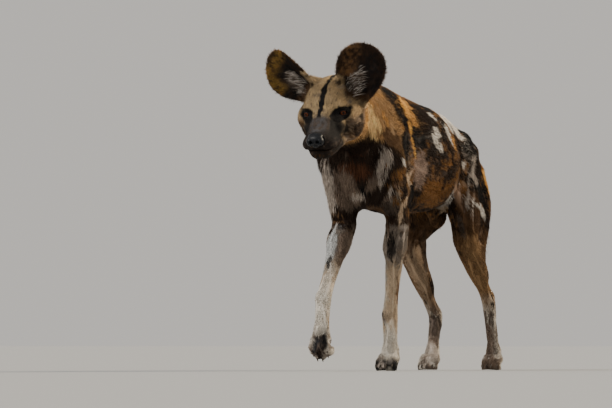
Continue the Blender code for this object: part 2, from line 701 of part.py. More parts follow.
def facing(place, normal):
    """A frame at a place with its Z along the normal."""
    turn = Vector(normal).to_track_quat("Z", "Y").to_matrix().to_4x4()
    return Matrix.Translation(Vector(place)) @ turn


def plate(place, normal, half):
    """A thin plate that parts two nodes by one gap."""
    return facing(place, normal), (half[0], half[1], GAP / 2)


def side_block(place, normal, half, depth, height=None):
    """A block that takes all on the normal's side of a place, and half a gap before it."""
    normal = Vector(normal).normalized()
    centre = Vector(place) + normal * (depth - GAP / 2)
    return facing(centre, normal), (half, height or half, depth)


def split(body, anchors):
    """Loose pieces of a body as objects. Each is named by the anchor that lies nearest to it."""
    body.name = "whole"
    work = bmesh.new()
    work.from_mesh(body.data)
    bmesh.ops.triangulate(work, faces=work.faces[:])
    bmesh.ops.remove_doubles(work, verts=work.verts[:], dist=1e-6)
    bmesh.ops.dissolve_degenerate(work, edges=work.edges[:], dist=1e-6)
    bmesh.ops.triangulate(work, faces=work.faces[:])
    left = set(work.verts)
    pieces = []
    while left:
        seed = left.pop()
        group = {seed}
        edge = [seed]
        while edge:
            vertex = edge.pop()
            for link in vertex.link_edges:
                other = link.other_vert(vertex)
                if other in left:
                    left.discard(other)
                    group.add(other)
                    edge.append(other)
        pieces.append(group)
    made = {}
    for name, place in anchors.items():
        place = Vector(place)
        nearest = min(pieces, key=lambda group: min((v.co - place).length for v in group))
        numbers = {v: n for n, v in enumerate(nearest)}
        faces = [tuple(numbers[v] for v in face.verts) for face in work.faces if face.verts[0] in numbers]
        mesh = bpy.data.meshes.new(name)
        mesh.from_pydata([v.co[:] for v in numbers], [], faces)
        made[name] = new_object(name, mesh)
    work.free()
    bpy.data.objects.remove(body)
    return made


# Where the body is parted: a place and the way the cut faces.
HEAD_CUT = ((0, 0.1120, -0.026), (0, 1, -0.12))
NOSE_CUT = Matrix.Translation((0, -0.0940, -0.0365))
EAR_CUT = Matrix.Translation((0, -0.010, 0.036))
NECK_CUT = ((0, -0.125, 0.590), (0, -0.745, 0.667))
TAIL_CUT = ((0, 0.541, 0.526), (0, 0.80, -0.60))
LEG_CUT_HEIGHT = 0.3655


def paw_cut(leg):
    """The cut between a leg and its paw, across the bones above the knuckle."""
    wrist, knuckle = Vector(leg["wrist"]), Vector(leg["knuckle"])
    down = (knuckle - wrist).normalized()
    return knuckle - down * 0.024, down


def make_body():
    field = Field((-0.150, -0.330, 0.010), (0.150, 0.620, 0.730), BODY_CELL)
    field.tube(NECK, across=(1, 0, 0), blend=0.03)
    trunk_forms(field)
    for name in LEGS:
        leg_forms(field, name)
    head_forms(field)
    body = fleshed("body", field, 4, BODY_TRIANGLES)
    boxes = []
    turn = head_frame()
    normal = turn.to_3x3() @ Vector(HEAD_CUT[1])
    boxes.append(side_block(turn @ Vector(HEAD_CUT[0]), -normal, 0.13, 0.15, 0.109))
    for name, leg in LEGS.items():
        place, down = paw_cut(leg)
        boxes.append(side_block(place, down, 0.045, 0.05))
        middle = leg_joints(leg)[2]
        back = 0.055 if name.startswith("hind") else 0.0
        place = (middle.x, middle.y + back, LEG_CUT_HEIGHT)
        boxes.append((Matrix.Translation(place), (0.0585, 0.145, GAP / 2)))
    boxes.append(plate(*NECK_CUT, (0.17, 0.17)))
    boxes.append(side_block(*TAIL_CUT, 0.034, 0.06))
    for box in boxes:
        carved(body, box_mesh("cuts", [box]))
    anchors = {"torso": (0, 0.15, 0.66), "neck": (0, -0.19, 0.69)}
    for name, leg in LEGS.items():
        joints = leg_joints(leg)
        anchors[name] = joints[2].lerp(joints[3], 0.5)
    return split(body, anchors)


def lock_mesh(name, root, along, out, length, width):
    """A flat, tapered lock that leaves its root at a slant and bends back along the tail."""
    side = along.cross(out).normalized()
    rings = ((-0.10, 0.55, 0.80), (0.28, 1.00, 1.00), (0.66, 0.78, 0.70))
    points = []
    for done, wide, thick in rings:
        lift = LOCK_LIFT * (1 - 0.75 * done)
        way = along * math.cos(lift) + out * math.sin(lift)
        centre = root + way * (length * done)
        rise = (out * math.cos(lift) - along * math.sin(lift)) * (LOCK_THICKNESS / 2 * thick)
        reach = side * (width / 2 * wide)
        points += [centre + reach, centre + rise, centre - reach, centre - rise]
    points.append(root + (along * math.cos(LOCK_LIFT * 0.25) + out * math.sin(LOCK_LIFT * 0.25)) * length)
    faces = [(3, 2, 1, 0)]
    for k in (0, 4):
        for i in range(4):
            j = (i + 1) % 4
            faces.append((k + i, k + j, k + 4 + j, k + 4 + i))
    for i in range(4):
        faces.append((8 + i, 8 + (i + 1) % 4, 12))
    mesh = bpy.data.meshes.new(name)
    mesh.from_pydata(points, [], faces)
    work = bmesh.new()
    work.from_mesh(mesh)
    bmesh.ops.recalc_face_normals(work, faces=work.faces)
    bmesh.ops.triangulate(work, faces=work.faces[:])
    work.to_mesh(mesh)
    work.free()
    return mesh


def brush_locks():
    """The tail's locks, in rows that are turned by half a step, each a little different."""
    chance = np.random.default_rng(11)
    rows = [list(centre) + [half] for centre, half in TAIL_CORE]
    made = []
    for row in range(BRUSH_ROWS):
        where = BRUSH_START + (BRUSH_END - BRUSH_START) * row / (BRUSH_ROWS - 1)
        where = min(where, len(rows) - 1.02)
        here = smooth_between(rows, where)
        after = smooth_between(rows, min(where + 0.1, len(rows) - 1.01))
        before = smooth_between(rows, where - 0.1)
        along = Vector(after[:3] - before[:3]).normalized()
        across = along.cross(Vector((1, 0, 0))).normalized()
        size = 0.72 + 0.28 * math.sin(math.pi * min(1.0, 0.25 + 0.75 * row / (BRUSH_ROWS - 1)))
        for number in range(BRUSH_AROUND):
            turn = 2 * math.pi * (number + 0.5 * (row % 2) + 0.12 * chance.uniform(-1, 1)) / BRUSH_AROUND
            out = across * math.cos(turn) + along.cross(across) * math.sin(turn)
            root = Vector(here[:3]) + out * (here[3] * 0.62)
            length = LOCK_LENGTH * size * chance.uniform(0.92, 1.06)
            name = "lock_" + str(row) + "_" + str(number)
            made.append(new_object(name, lock_mesh(name, root, along, out, length, LOCK_WIDTH)))
    return made


def united(body, parts):
    """The body joined with closed parts by one union. The parts are used up."""
    group = bpy.data.collections.new("parts")
    bpy.context.scene.collection.children.link(group)
    for part in parts:
        bpy.context.scene.collection.objects.unlink(part)
        group.objects.link(part)
    join = body.modifiers.new("Join", "BOOLEAN")
    join.operation = "UNION"
    join.solver = "EXACT"
    join.operand_type = "COLLECTION"
    join.collection = group
    settled(body)
    for part in parts:
        bpy.data.objects.remove(part)
    bpy.data.collections.remove(group)
    return body


def make_tail():
    """The hanging tail: a slim core, and locks over it down to the tip of the brush."""
    field = Field((-0.050, 0.470, 0.250), (0.060, 0.630, 0.590), BODY_CELL)
    stations = [(centre, half, half, half) for centre, half in TAIL_CORE]
    field.tube(stations, across=(1, 0, 0), blend=0.022)
    tail = fleshed("tail", field, 4, TAIL_TRIANGLES)
    united(tail, brush_locks())
    place, normal = TAIL_CUT
    carved(tail, box_mesh("cuts", [side_block(place, -Vector(normal), 0.10, 0.06)]))
    return split(tail, {"tail": TAIL_CORE[4][0]})


def make_head():
    middle = head_frame() @ Vector((0, 0.03, 0.03))
    low = middle - Vector((0.205, 0.16, 0.155))
    high = middle + Vector((0.165, 0.15, 0.185))
    field = Field(low, high, HEAD_CELL)
    field.tube(NECK, across=(1, 0, 0), blend=0.03)
    head_forms(field)
    for name in EARS:
        ear_forms(field, name)
    nose_forms(field)
    lid_forms(field)
    head = fleshed("head", field, 2, HEAD_TRIANGLES)
    turn = head_frame()
    normal = turn.to_3x3() @ Vector(HEAD_CUT[1])
    boxes = [side_block(turn @ Vector(HEAD_CUT[0]), normal, 0.100, 0.12, 0.115)]
    for name in EARS:
        boxes.append((ear_frame(name) @ EAR_CUT, (0.056, 0.044, GAP / 2)))
    boxes.append((turn @ NOSE_CUT, (0.0300, GAP / 2, 0.0240)))
    for box in boxes:
        carved(head, box_mesh("cuts", [box]))
    sockets = bmesh.new()
    for side in (1, -1):
        spot = Matrix.Translation(turn @ eye_place(side))
        bmesh.ops.create_icosphere(sockets, subdivisions=3, radius=EYE_RADIUS + GAP, matrix=spot)
    cutter = bpy.data.meshes.new("sockets")
    sockets.to_mesh(cutter)
    sockets.free()
    carved(head, cutter)
    anchors = {"head": turn @ Vector((0, 0.05, 0.072)), "nose": turn @ Vector((0, -0.105, -0.036))}
    for name in EARS:
        anchors[name] = ear_frame(name) @ Vector((0, 0, EAR_HEIGHT * 0.8))
    made = split(head, anchors)
    for side, name in ((1, "eye_left"), (-1, "eye_right")):
        ball = bmesh.new()
        spot = Matrix.Translation(turn @ eye_place(side))
        bmesh.ops.create_icosphere(ball, subdivisions=3, radius=EYE_RADIUS, matrix=spot)
        mesh = bpy.data.meshes.new(name)
        ball.to_mesh(mesh)
        ball.free()
        made[name] = new_object(name, mesh)
    return made


def claw_mesh(name, leg, toe, grow):
    """A curved, tapered claw. The same form, a little larger, cuts its socket."""
    spread, length = toe_tips(leg)[toe]
    frame = paw_frame(leg)
    root = Vector((spread * 1.04, -length * 0.96 - 0.0005, -0.0126))
    points = []
    sides = 8
    rings = ((0.0, 0.0030), (0.35, 0.0030), (0.70, 0.0020), (0.93, 0.0009))
    reach = 0.0150
    for done, radius in rings:
        tilt = math.radians(12 + 30 * done)
        centre = root + Vector((0, -math.cos(tilt * 0.8), -math.sin(tilt * 0.8))) * (reach * done)
        centre = centre + Vector((0, 0, 0.0008))
        if done == 0.0:
            centre = centre + Vector((0, grow, 0))
        for i in range(sides):
            angle = 2 * math.pi * i / sides
            up = Vector((0, -math.sin(tilt), math.cos(tilt)))
            offset = Vector((1, 0, 0)) * (math.cos(angle) * (radius * 0.72 + grow))
            points.append(centre + offset + up * (math.sin(angle) * (radius + grow)))
    tip = root + Vector((0, -math.cos(0.60), -math.sin(0.60))) * (reach + grow)
    points.append(tip)
    faces = [tuple(reversed(range(sides)))]
    for k in range(len(rings) - 1):
        for i in range(sides):
            j = (i + 1) % sides
            low, high = k * sides, (k + 1) * sides
            faces.append((low + i, low + j, high + j, high + i))
    last = (len(rings) - 1) * sides
    for i in range(sides):
        faces.append((last + i, last + (i + 1) % sides, len(points) - 1))
    mesh = bpy.data.meshes.new(name)
    mesh.from_pydata([frame @ p for p in points], [], faces)
    work = bmesh.new()
    work.from_mesh(mesh)
    bmesh.ops.recalc_face_normals(work, faces=work.faces)
    bmesh.ops.triangulate(work, faces=work.faces[:])
    work.to_mesh(mesh)
    work.free()
    return mesh


def make_paw(name):
    leg = LEGS[name]
    middle = paw_frame(leg) @ Vector((0, -0.016, -0.004))
    size = Vector((0.056, 0.075, 0.062))
    field = Field(middle - size, middle + size, PAW_CELL)
    leg_forms(field, name)
    paw_forms(field, leg)
    paw_name = name.replace("_leg_", "_paw_")
    paw = fleshed(paw_name, field, 2, PAW_TRIANGLES)
    place, down = paw_cut(leg)
    boxes = [side_block(place, -down, 0.09, 0.04)]
    if middle.z < 0.05:
        boxes.append((Matrix.Translation((middle.x, middle.y, -0.05)), (0.10, 0.12, 0.05)))
    for box in boxes:
        carved(paw, box_mesh("cuts", [box]))
    made = {}
    for toe in range(4):
        claw_name = paw_name.replace("_paw_", "_claw_") + "_" + str(toe + 1)
        carved(paw, claw_mesh("socket", leg, toe, GAP))
        made[claw_name] = new_object(claw_name, claw_mesh(claw_name, leg, toe, 0.0))
    made.update(split(paw, {paw_name: paw_frame(leg) @ Vector((0, -0.01, 0.01))}))
    return made


def material(name, colour, roughness):
    made = bpy.data.materials.new(name)
    made.use_nodes = True
    shader = made.node_tree.nodes["Principled BSDF"]
    shader.inputs["Base Color"].default_value = (*colour, 1.0)
    shader.inputs["Roughness"].default_value = roughness
    shader.inputs["Metallic"].default_value = 0.0
    return made


# Colours by the start of a node's name.
COLOURS = (
    ("torso", (0.085, 0.055, 0.032), 0.85),
    ("neck", (0.270, 0.170, 0.080), 0.85),
    ("head", (0.170, 0.130, 0.090), 0.80),
    ("nose", (0.012, 0.011, 0.011), 0.35),
    ("eye", (0.060, 0.022, 0.008), 0.08),
    ("ear", (0.050, 0.036, 0.026), 0.85),
    ("tail", (0.420, 0.360, 0.290), 0.90),
    ("fore_leg", (0.300, 0.260, 0.215), 0.85),
    ("fore_paw", (0.330, 0.280, 0.225), 0.85),
    ("hind_leg", (0.200, 0.140, 0.090), 0.85),
    ("hind_paw", (0.260, 0.200, 0.150), 0.85),
    ("fore_claw", (0.030, 0.026, 0.023), 0.40),
    ("hind_claw", (0.030, 0.026, 0.023), 0.40),
)


def centred(nodes):
    """Moves everything so that the origin is on the floor under the middle of the whole."""
    places = np.concatenate([[v.co[:] for v in node.data.vertices] for node in nodes.values()])
    middle = (places.min(0) + places.max(0)) / 2
    shift = Matrix.Translation((-middle[0], -middle[1], -places[:, 2].min()))
    for node in nodes.values():
        node.data.transform(shift)
    return shift.to_translation()


def main():
    clear_scene()
    nodes = make_body()
    nodes.update(make_tail())
    nodes.update(make_head())
    for name in LEGS:
        nodes.update(make_paw(name))
    shift = centred(nodes)
    print("origin moved by", [round(v, 6) for v in shift])
    for start, colour, roughness in COLOURS:
        made = material(start + "_surface", colour, roughness)
        for name, node in nodes.items():
            if name.startswith(start):
                node.data.materials.clear()
                node.data.materials.append(made)


main()
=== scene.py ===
"""African wild dog in a slow walk: skin, coat, eyes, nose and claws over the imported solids.

Places are given in the dog's own axes: origin on the floor under the withers, the dog faces -Y,
its left side is +X and Z is up. Lengths are in metres.
"""

import math

import bpy
import bmesh
import numpy as np
from mathutils import Matrix, Vector
from mathutils.kdtree import KDTree


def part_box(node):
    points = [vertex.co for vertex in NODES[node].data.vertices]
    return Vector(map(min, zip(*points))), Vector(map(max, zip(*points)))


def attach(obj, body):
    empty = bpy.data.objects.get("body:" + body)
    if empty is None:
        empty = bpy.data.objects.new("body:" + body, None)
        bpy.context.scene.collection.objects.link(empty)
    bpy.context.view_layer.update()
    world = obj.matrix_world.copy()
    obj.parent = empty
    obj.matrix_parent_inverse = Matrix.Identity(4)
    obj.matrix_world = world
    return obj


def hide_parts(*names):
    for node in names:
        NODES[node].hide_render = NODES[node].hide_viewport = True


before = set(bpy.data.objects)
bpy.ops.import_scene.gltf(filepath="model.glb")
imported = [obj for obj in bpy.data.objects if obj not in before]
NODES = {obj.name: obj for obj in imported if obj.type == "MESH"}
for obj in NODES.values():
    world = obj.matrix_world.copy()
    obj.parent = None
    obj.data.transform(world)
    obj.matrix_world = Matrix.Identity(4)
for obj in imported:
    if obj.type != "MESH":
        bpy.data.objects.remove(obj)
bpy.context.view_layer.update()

# Size of the skin's cells when its solids are fused, and its triangles once it is thinned out.
SKIN_CELL = 0.0018
SKIN_TRIANGLES = 185000
EYE_RADIUS = 0.0112
rng = np.random.default_rng(7)


def box_centre(name):
    low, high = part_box(name)
    return (Vector(low) + Vector(high)) / 2


# The head's own frame: origin between the eyes, faces -Y before it is turned.
HEAD_TURN = (
    Matrix.Rotation(math.radians(8), 4, "Z")
    @ Matrix.Rotation(math.radians(18), 4, "X")
    @ Matrix.Rotation(math.radians(-2), 4, "Y")
)
EYE_PLACE = Vector((0.0420, 0.0085, 0.0))
NOSE_MIDDLE = (0, -0.104, -0.037)
between = (box_centre("eye_left") + box_centre("eye_right")) / 2
HEAD = Matrix.Translation(between) @ HEAD_TURN @ Matrix.Translation((0, -EYE_PLACE.y, 0))
# Where the head's frame lies in the dog's own axes, whose origin is ORIGIN.
HEAD_PLACE = Vector((0.004, -0.350, 0.614))
ORIGIN = HEAD.translation - HEAD_PLACE


# Small array helpers.

def unit(v):
    return v / np.maximum(np.linalg.norm(v, axis=-1, keepdims=True), 1e-9)


def ramp(x, low, high):
    """0 below low, 1 above high, smooth between. It also runs downwards if high is below low."""
    t = np.clip((x - low) / (high - low), 0, 1)
    return t * t * (3 - 2 * t)


def bell(x, width):
    """1 where x is 0, and close to 0 farther away than about twice this width."""
    return np.exp(-(x / width) ** 2)


def mix(a, b, share):
    share = np.asarray(share)[..., None]
    return a * (1 - share) + b * share


def apply(matrix, points):
    m = np.array(matrix)
    return points @ m[:3, :3].T + m[:3, 3]


def in_dog(places):
    """Places in the dog's own axes."""
    return places - np.array(ORIGIN)


def in_head(places):
    """Places in the head's frame."""
    return apply(HEAD.inverted(), places)


def nearest_of(points, places):
    """For each place, the number of the point that is nearest to it."""
    tree = KDTree(len(points))
    for n, point in enumerate(points):
        tree.insert(point, n)
    tree.balance()
    return np.array([tree.find(place)[1] for place in places])


def hashed(cells, seed):
    """A number from 0 to 1 for each whole-numbered cell. The large numbers scramble its bits."""
    with np.errstate(over="ignore"):
        h = cells[..., 0].astype(np.uint32) * np.uint32(374761393)
        h = h + cells[..., 1].astype(np.uint32) * np.uint32(668265263)
        h = h + cells[..., 2].astype(np.uint32) * np.uint32(2147483647) + np.uint32(seed * 977)
        h = (h ^ (h >> np.uint32(13))) * np.uint32(1274126177)
        h = h ^ (h >> np.uint32(16))
    return (h & np.uint32(0xFFFFFF)).astype(np.float32) / 0xFFFFFF


def noise(points, size, seed):
    """Smooth noise from 0 to 1, with lumps of about this size."""
    scaled = points / np.asarray(size) + 100.0
    low = np.floor(scaled).astype(np.int64)
    t = scaled - low
    t = t * t * (3 - 2 * t)
    total = 0
    for i in (0, 1):
        for j in (0, 1):
            for k in (0, 1):
                weight = 1
                for axis, step in enumerate((i, j, k)):
                    weight = weight * (t[:, axis] if step else 1 - t[:, axis])
                total = total + weight * hashed(low + (i, j, k), seed)
    return total


def rough(points, size, seed):
    """Noise of three sizes, from about -1 to 1."""
    size = np.asarray(size, float)
    total = noise(points, size, seed) + 0.5 * noise(points, size * 0.5, seed + 1)
    total = total + 0.25 * noise(points, size * 0.24, seed + 2)
    return (total / 1.75 - 0.5) * 2.6


# Skin.

LEG_NAMES = [a + "_leg_" + b for a in ("fore", "hind") for b in ("left", "right")]
PAW_NAMES = [name.replace("leg", "paw") for name in LEG_NAMES]
FLESH = ["torso", "neck", "head", "ear_left", "ear_right"] + LEG_NAMES + PAW_NAMES
REGIONS = FLESH + ["tail"]


def among(region, *names):
    """Which entries of an array of region numbers stand for these regions."""
    return np.isin(region, [REGIONS.index(name) for name in names])


# The tail's own core, under its brush: centre and half size.
TAIL_CORE = (
    ((0.000, 0.470, 0.545), 0.020),
    ((0.000, 0.505, 0.546), 0.018),
    ((0.000, 0.536, 0.530), 0.016),
    ((0.001, 0.558, 0.486), 0.014),
    ((0.003, 0.568, 0.435), 0.013),
    ((0.005, 0.570, 0.380), 0.012),
    ((0.007, 0.568, 0.330), 0.009),
    ((0.008, 0.566, 0.306), 0.005),
)


def tube(work, stations, sides=20):
    """A closed round tube through stations, added to a bmesh."""
    rings = []
    for n, (centre, half) in enumerate(stations):
        before = Vector(stations[max(n - 1, 0)][0])
        after = Vector(stations[min(n + 1, len(stations) - 1)][0])
        along = (after - before).normalized()
        side = along.cross(Vector((1, 0, 0))).normalized()
        up = along.cross(side)
        ring = []
        for i in range(sides):
            angle = 2 * math.pi * i / sides
            place = Vector(centre) + (side * math.cos(angle) + up * math.sin(angle)) * half
            ring.append(work.verts.new(place + ORIGIN))
        rings.append(ring)
    for low, high in zip(rings, rings[1:]):
        for i in range(sides):
            j = (i + 1) % sides
            work.faces.new((low[i], low[j], high[j], high[i]))
    work.faces.new(list(reversed(rings[0])))
    work.faces.new(rings[-1])


def apply_modifiers(body):
    graph = bpy.context.evaluated_depsgraph_get()
    mesh = bpy.data.meshes.new_from_object(body.evaluated_get(graph))
    body.modifiers.clear()
    old = body.data
    body.data = mesh
    bpy.data.meshes.remove(old)


def fuse(body, cell):
    """Turns overlapping solids into one surface of small even faces."""
    even = body.modifiers.new("Fuse", "REMESH")
    even.mode = "VOXEL"
    even.voxel_size = cell
    apply_modifiers(body)


def new_object(name, mesh):
    made = bpy.data.objects.new(name, mesh)
    bpy.context.scene.collection.objects.link(made)
    return made


def mesh_of(work, name):
    """A new mesh from a bmesh, which is then freed."""
    mesh = bpy.data.meshes.new(name)
    work.to_mesh(mesh)
    work.free()
    return mesh


def shade_smooth(mesh):
    mesh.polygons.foreach_set("use_smooth", np.full(len(mesh.polygons), True))


def set_places(mesh, places):
    mesh.vertices.foreach_set("co", places.astype(np.float32).ravel())
    mesh.update()


def array_of(data, field, width, kind=np.float32):
    values = np.empty(len(data) * width, kind)
    data.foreach_get(field, values)
    return values.reshape(-1, width) if width > 1 else values


class Net:
    """A mesh as arrays, with its neighbours, for smoothing and for spreading values."""

    def __init__(self, mesh):
        self.places = array_of(mesh.vertices, "co", 3).astype(float)
        self.count = len(self.places)
        edges = array_of(mesh.edges, "vertices", 2, np.int32)
        self.ends = np.concatenate([edges[:, 0], edges[:, 1]])
        self.others = np.concatenate([edges[:, 1], edges[:, 0]])
        self.degree = np.maximum(np.bincount(self.ends, minlength=self.count), 1)[:, None]
        mesh.calc_loop_triangles()
        self.triangles = array_of(mesh.loop_triangles, "vertices", 3, np.int32)

    def mean(self, values):
        """Each vertex's mean over its neighbours."""
        columns = []
        for c in range(values.shape[1]):
            columns.append(np.bincount(self.ends, values[self.others, c], self.count))
        return np.stack(columns, 1) / self.degree

    def spread(self, values, rounds, share=0.5):
        for _ in range(rounds):
            values = values + share * (self.mean(values) - values)
        return values

    def normals(self):
        a, b, c = [self.places[self.triangles[:, i]] for i in range(3)]
        flat = np.cross(b - a, c - a)
        total = np.zeros_like(self.places)
        for corner in range(3):
            for axis in range(3):
                total[:, axis] += np.bincount(self.triangles[:, corner], flat[:, axis], self.count)
        return unit(total)


def nearest_region(places):
    """For each place, the number of the flesh node that is nearest to it."""
    points = []
    owners = []
    for number, name in enumerate(FLESH):
        mesh = NODES[name].data
        mesh.calc_loop_triangles()
        verts = array_of(mesh.vertices, "co", 3)
        tris = array_of(mesh.loop_triangles, "vertices", 3, np.int32)
        middles = verts[tris].mean(1)
        halves = (verts[tris] + verts[np.roll(tris, 1, 1)]) / 2
        cloud = np.concatenate([verts, middles, halves.reshape(-1, 3)])
        points.append(cloud)
        owners.append(np.full(len(cloud), number))
    tail = np.array([c for c, _ in TAIL_CORE[2:]]) + np.array(ORIGIN)
    for share in np.linspace(0, 1, 12):
        points.append(tail[:-1] * (1 - share) + tail[1:] * share)
        owners.append(np.full(len(tail) - 1, len(FLESH)))
    # One look-up for each small cube of places is enough.
    size = 0.004
    cubes, back = np.unique(np.floor(places / size).astype(np.int64), axis=0, return_inverse=True)
    found = np.concatenate(owners)[nearest_of(np.concatenate(points), (cubes + 0.5) * size)]
    return found[back.ravel()]


def eye_axes(side):
    """Across the eye, up it and out of it, in the head's frame."""
    out = Vector((side * 0.50, -1.0, 0.12)).normalized()
    across = Vector((0, 0, 1)).cross(out).normalized() * -1
    tilted = Matrix.Rotation(side * math.radians(-8), 3, out) @ across
    up = out.cross(tilted)
    return tilted, (up if up.z > 0 else -up), out


# The soft bulge that hangs under the groin: centre and half sizes.
GROIN_CENTRE = (-0.014, 0.366, 0.388)
GROIN_HALF = (0.022, 0.034, 0.033)


def largest_part(net):
    """Which vertices belong to the largest closed surface."""
    order = np.argsort(net.ends, kind="stable")
    others = net.others[order]
    starts = np.concatenate([[0], np.cumsum(np.bincount(net.ends, minlength=net.count))])
    owner = np.full(net.count, -1)
    seed = 0
    while True:
        free = np.flatnonzero(owner < 0)
        if len(free) == 0:
            break
        front = free[:1]
        owner[front] = seed
        while len(front):
            counts = starts[front + 1] - starts[front]
            steps = np.repeat(starts[front], counts)
            inner = np.arange(counts.sum()) - np.repeat(np.cumsum(counts) - counts, counts)
            reached = others[steps + inner]
            front = np.unique(reached[owner[reached] < 0])
            owner[front] = seed
        seed += 1
    return owner == np.argmax(np.bincount(owner))


def flesh_mesh():
    """Every flesh node, the tail's core and the groin's bulge, fused into one even mesh."""
    work = bmesh.new()
    for name in FLESH:
        work.from_mesh(NODES[name].data)
    tube(work, TAIL_CORE)
    groin = Matrix.Translation(ORIGIN + Vector(GROIN_CENTRE)) @ Matrix.Diagonal((*GROIN_HALF, 1))
    bmesh.ops.create_uvsphere(work, u_segments=24, v_segments=16, radius=1, matrix=groin)
    body = new_object("skin", mesh_of(work, "skin"))
    fuse(body, SKIN_CELL)
    whole = largest_part(Net(body.data))
    if not whole.all():
        work = bmesh.new()
        work.from_mesh(body.data)
        work.verts.ensure_lookup_table()
        stray = [work.verts[i] for i in np.flatnonzero(~whole)]
        bmesh.ops.delete(work, geom=stray, context="VERTS")
        work.to_mesh(body.data)
        work.free()
    return body


def refined(body):
    """Smaller faces round the eyes, the nose and the mouth."""
    work = bmesh.new()
    work.from_mesh(body.data)
    into = HEAD.inverted()
    near = []
    for face in work.faces:
        h = into @ face.calc_center_median()
        if h.y > 0.035 or abs(h.x) > 0.075 or h.z > 0.03 or h.z < -0.10:
            continue
        left = (h - EYE_PLACE).length
        right = (h - Vector((-EYE_PLACE.x, EYE_PLACE.y, 0))).length
        if min(left, right) < 0.026 or h.y < -0.004:
            near.append(face)
    edges = list({edge for face in near for edge in face.edges})
    bmesh.ops.subdivide_edges(work, edges=edges, cuts=1, use_grid_fill=True)
    bmesh.ops.triangulate(work, faces=[f for f in work.faces if len(f.verts) > 4])
    work.to_mesh(body.data)
    work.free()


def mouth_line(y):
    """Height of the shut mouth in the head's frame. It rises towards the cheeks."""
    return -0.0665 + 0.26 * np.clip(y + 0.062, 0, None)


def sculpted(h, region):
    """How far each place in the head's frame moves outwards: mouth line, lips, folds of the face."""
    x, y, z = h.T
    side = np.abs(x)
    above = z - mouth_line(y)
    out = np.zeros(len(h))
    # The mouth line and the lips above and below it.
    fade = ramp(y, -0.004, -0.016)
    out -= 0.0022 * bell(above, 0.0013) * fade
    out += 0.0008 * bell(above - 0.0045, 0.0030) * fade
    out += 0.0006 * bell(above + 0.0040, 0.0026) * fade
    # Fuller lips and a fuller lower jaw than the bare solid has.
    low = ramp(above, 0.004, -0.004) * ramp(z, -0.104, -0.092) * ramp(y, -0.010, -0.045)
    out += 0.0042 * low * ramp(side, 0.002, 0.010)
    lip = 0.0016 * bell(above - 0.010, 0.008) * ramp(y, -0.02, -0.05)
    out += lip * ramp(side, 0.006, 0.014)
    # Flews and the heavy corner of the jaw.
    flew = bell(z + 0.052, 0.018) * ramp(y, -0.004, -0.030) * ramp(y, -0.088, -0.070)
    out += 0.0022 * flew * ramp(side, 0.008, 0.018)
    corner = np.hypot((y + 0.004) / 0.034, (z + 0.066) / 0.022)
    out += 0.0050 * bell(corner, 1) * ramp(side, 0.012, 0.024)
    # The groove from the nose down to the mouth.
    out -= 0.0012 * bell(x, 0.0013) * ramp(y, -0.086, -0.090) * ramp(z, -0.067, -0.060)
    # A fold under each eye and one over it.
    for way, depth, reach in ((-1, 0.0008, 0.0165), (1, 0.0009, 0.0180)):
        arc = np.hypot(side - 0.043, z * 1.15)
        half = ramp(z * way, 0.0, 0.006)
        out -= depth * bell(arc - reach, 0.0016) * half * ramp(y, 0.034, 0.020)
    # Creases on the brow and behind the mouth's corner.
    wave = np.sin((z + 0.30 * side) * 2 * math.pi / 0.0075)
    out += 0.00035 * wave * bell(side, 0.012) * bell(z - 0.006, 0.016)
    cheek = np.hypot((y - 0.012) / 0.030, (z + 0.045) / 0.022)
    crease = np.sin((y + 0.5 * z) * 2 * math.pi / 0.0105)
    out += 0.0004 * crease * bell(cheek, 1) * (side > 0.02)
    return out * among(region, "head")


def toe_grooves(places, region):
    """Grooves between the toes: each lies between two claws and runs back over the paw."""
    out = np.zeros(len(places))
    for paw in PAW_NAMES:
        own = np.flatnonzero(among(region, paw))
        claws = [np.array(box_centre(paw.replace("paw", "claw") + "_%d" % n)) for n in (1, 2, 3, 4)]
        centre = np.array(box_centre(paw))
        for first, second in zip(claws, claws[1:]):
            tip = (first + second) / 2
            way = unit(tip - centre)
            across = second - first
            across = unit(across - way * (across @ way))
            away = places[own] - tip
            ahead = (places[own] - centre) @ way / np.linalg.norm(tip - centre)
            side = away @ across
            out[own] -= 0.0030 * bell(side, 0.0017) * ramp(ahead, -0.1, 0.35)
    return out


# How far the back edge of the right thigh is drawn in over the hock, by height: the edge and the
# front of the limb across the view from the front left, and the distance drawn in.
THIGH_HEIGHTS = (0.240, 0.255, 0.274, 0.292, 0.306, 0.328, 0.342, 0.356, 0.365)
THIGH_EDGE = (0.117, 0.117, 0.120, 0.124, 0.127, 0.136, 0.140, 0.144, 0.147)
THIGH_FRONT = (0.066, 0.055, 0.042, 0.035, 0.033, 0.034, 0.035, 0.036, 0.037)
THIGH_DRAWN = (0.000, 0.003, 0.009, 0.016, 0.020, 0.026, 0.016, 0.004, 0.000)


def drawn_thigh(places, region):
    """Moves of the places of the right hind leg that make its thigh as slim as in the photograph."""
    height = places[:, 2]
    across = in_dog(places) @ ACROSS
    edge = np.interp(height, THIGH_HEIGHTS, THIGH_EDGE)
    front = np.interp(height, THIGH_HEIGHTS, THIGH_FRONT)
    drawn = np.interp(height, THIGH_HEIGHTS, THIGH_DRAWN)
    share = ramp((across - front) / (edge - front), 0.20, 1.0)
    return -(drawn * share * among(region, "hind_leg_right"))[:, None] * ACROSS


# Depth of the coat over the skin, by region.
DEPTH = {
    "torso": 0.0024, "neck": 0.0040, "head": 0.0009, "ear": 0.0003, "fore_leg": 0.0012,
    "hind_leg": 0.0014, "fore_paw": 0.0006, "hind_paw": 0.0006, "tail": 0.0000,
}


def by_region(table, region):
    """Values from a table keyed by the start of a region's name."""
    rows = []
    for name in REGIONS:
        rows.append([value for key, value in table.items() if name.startswith(key)][0])
    return np.array(rows, float)[region]


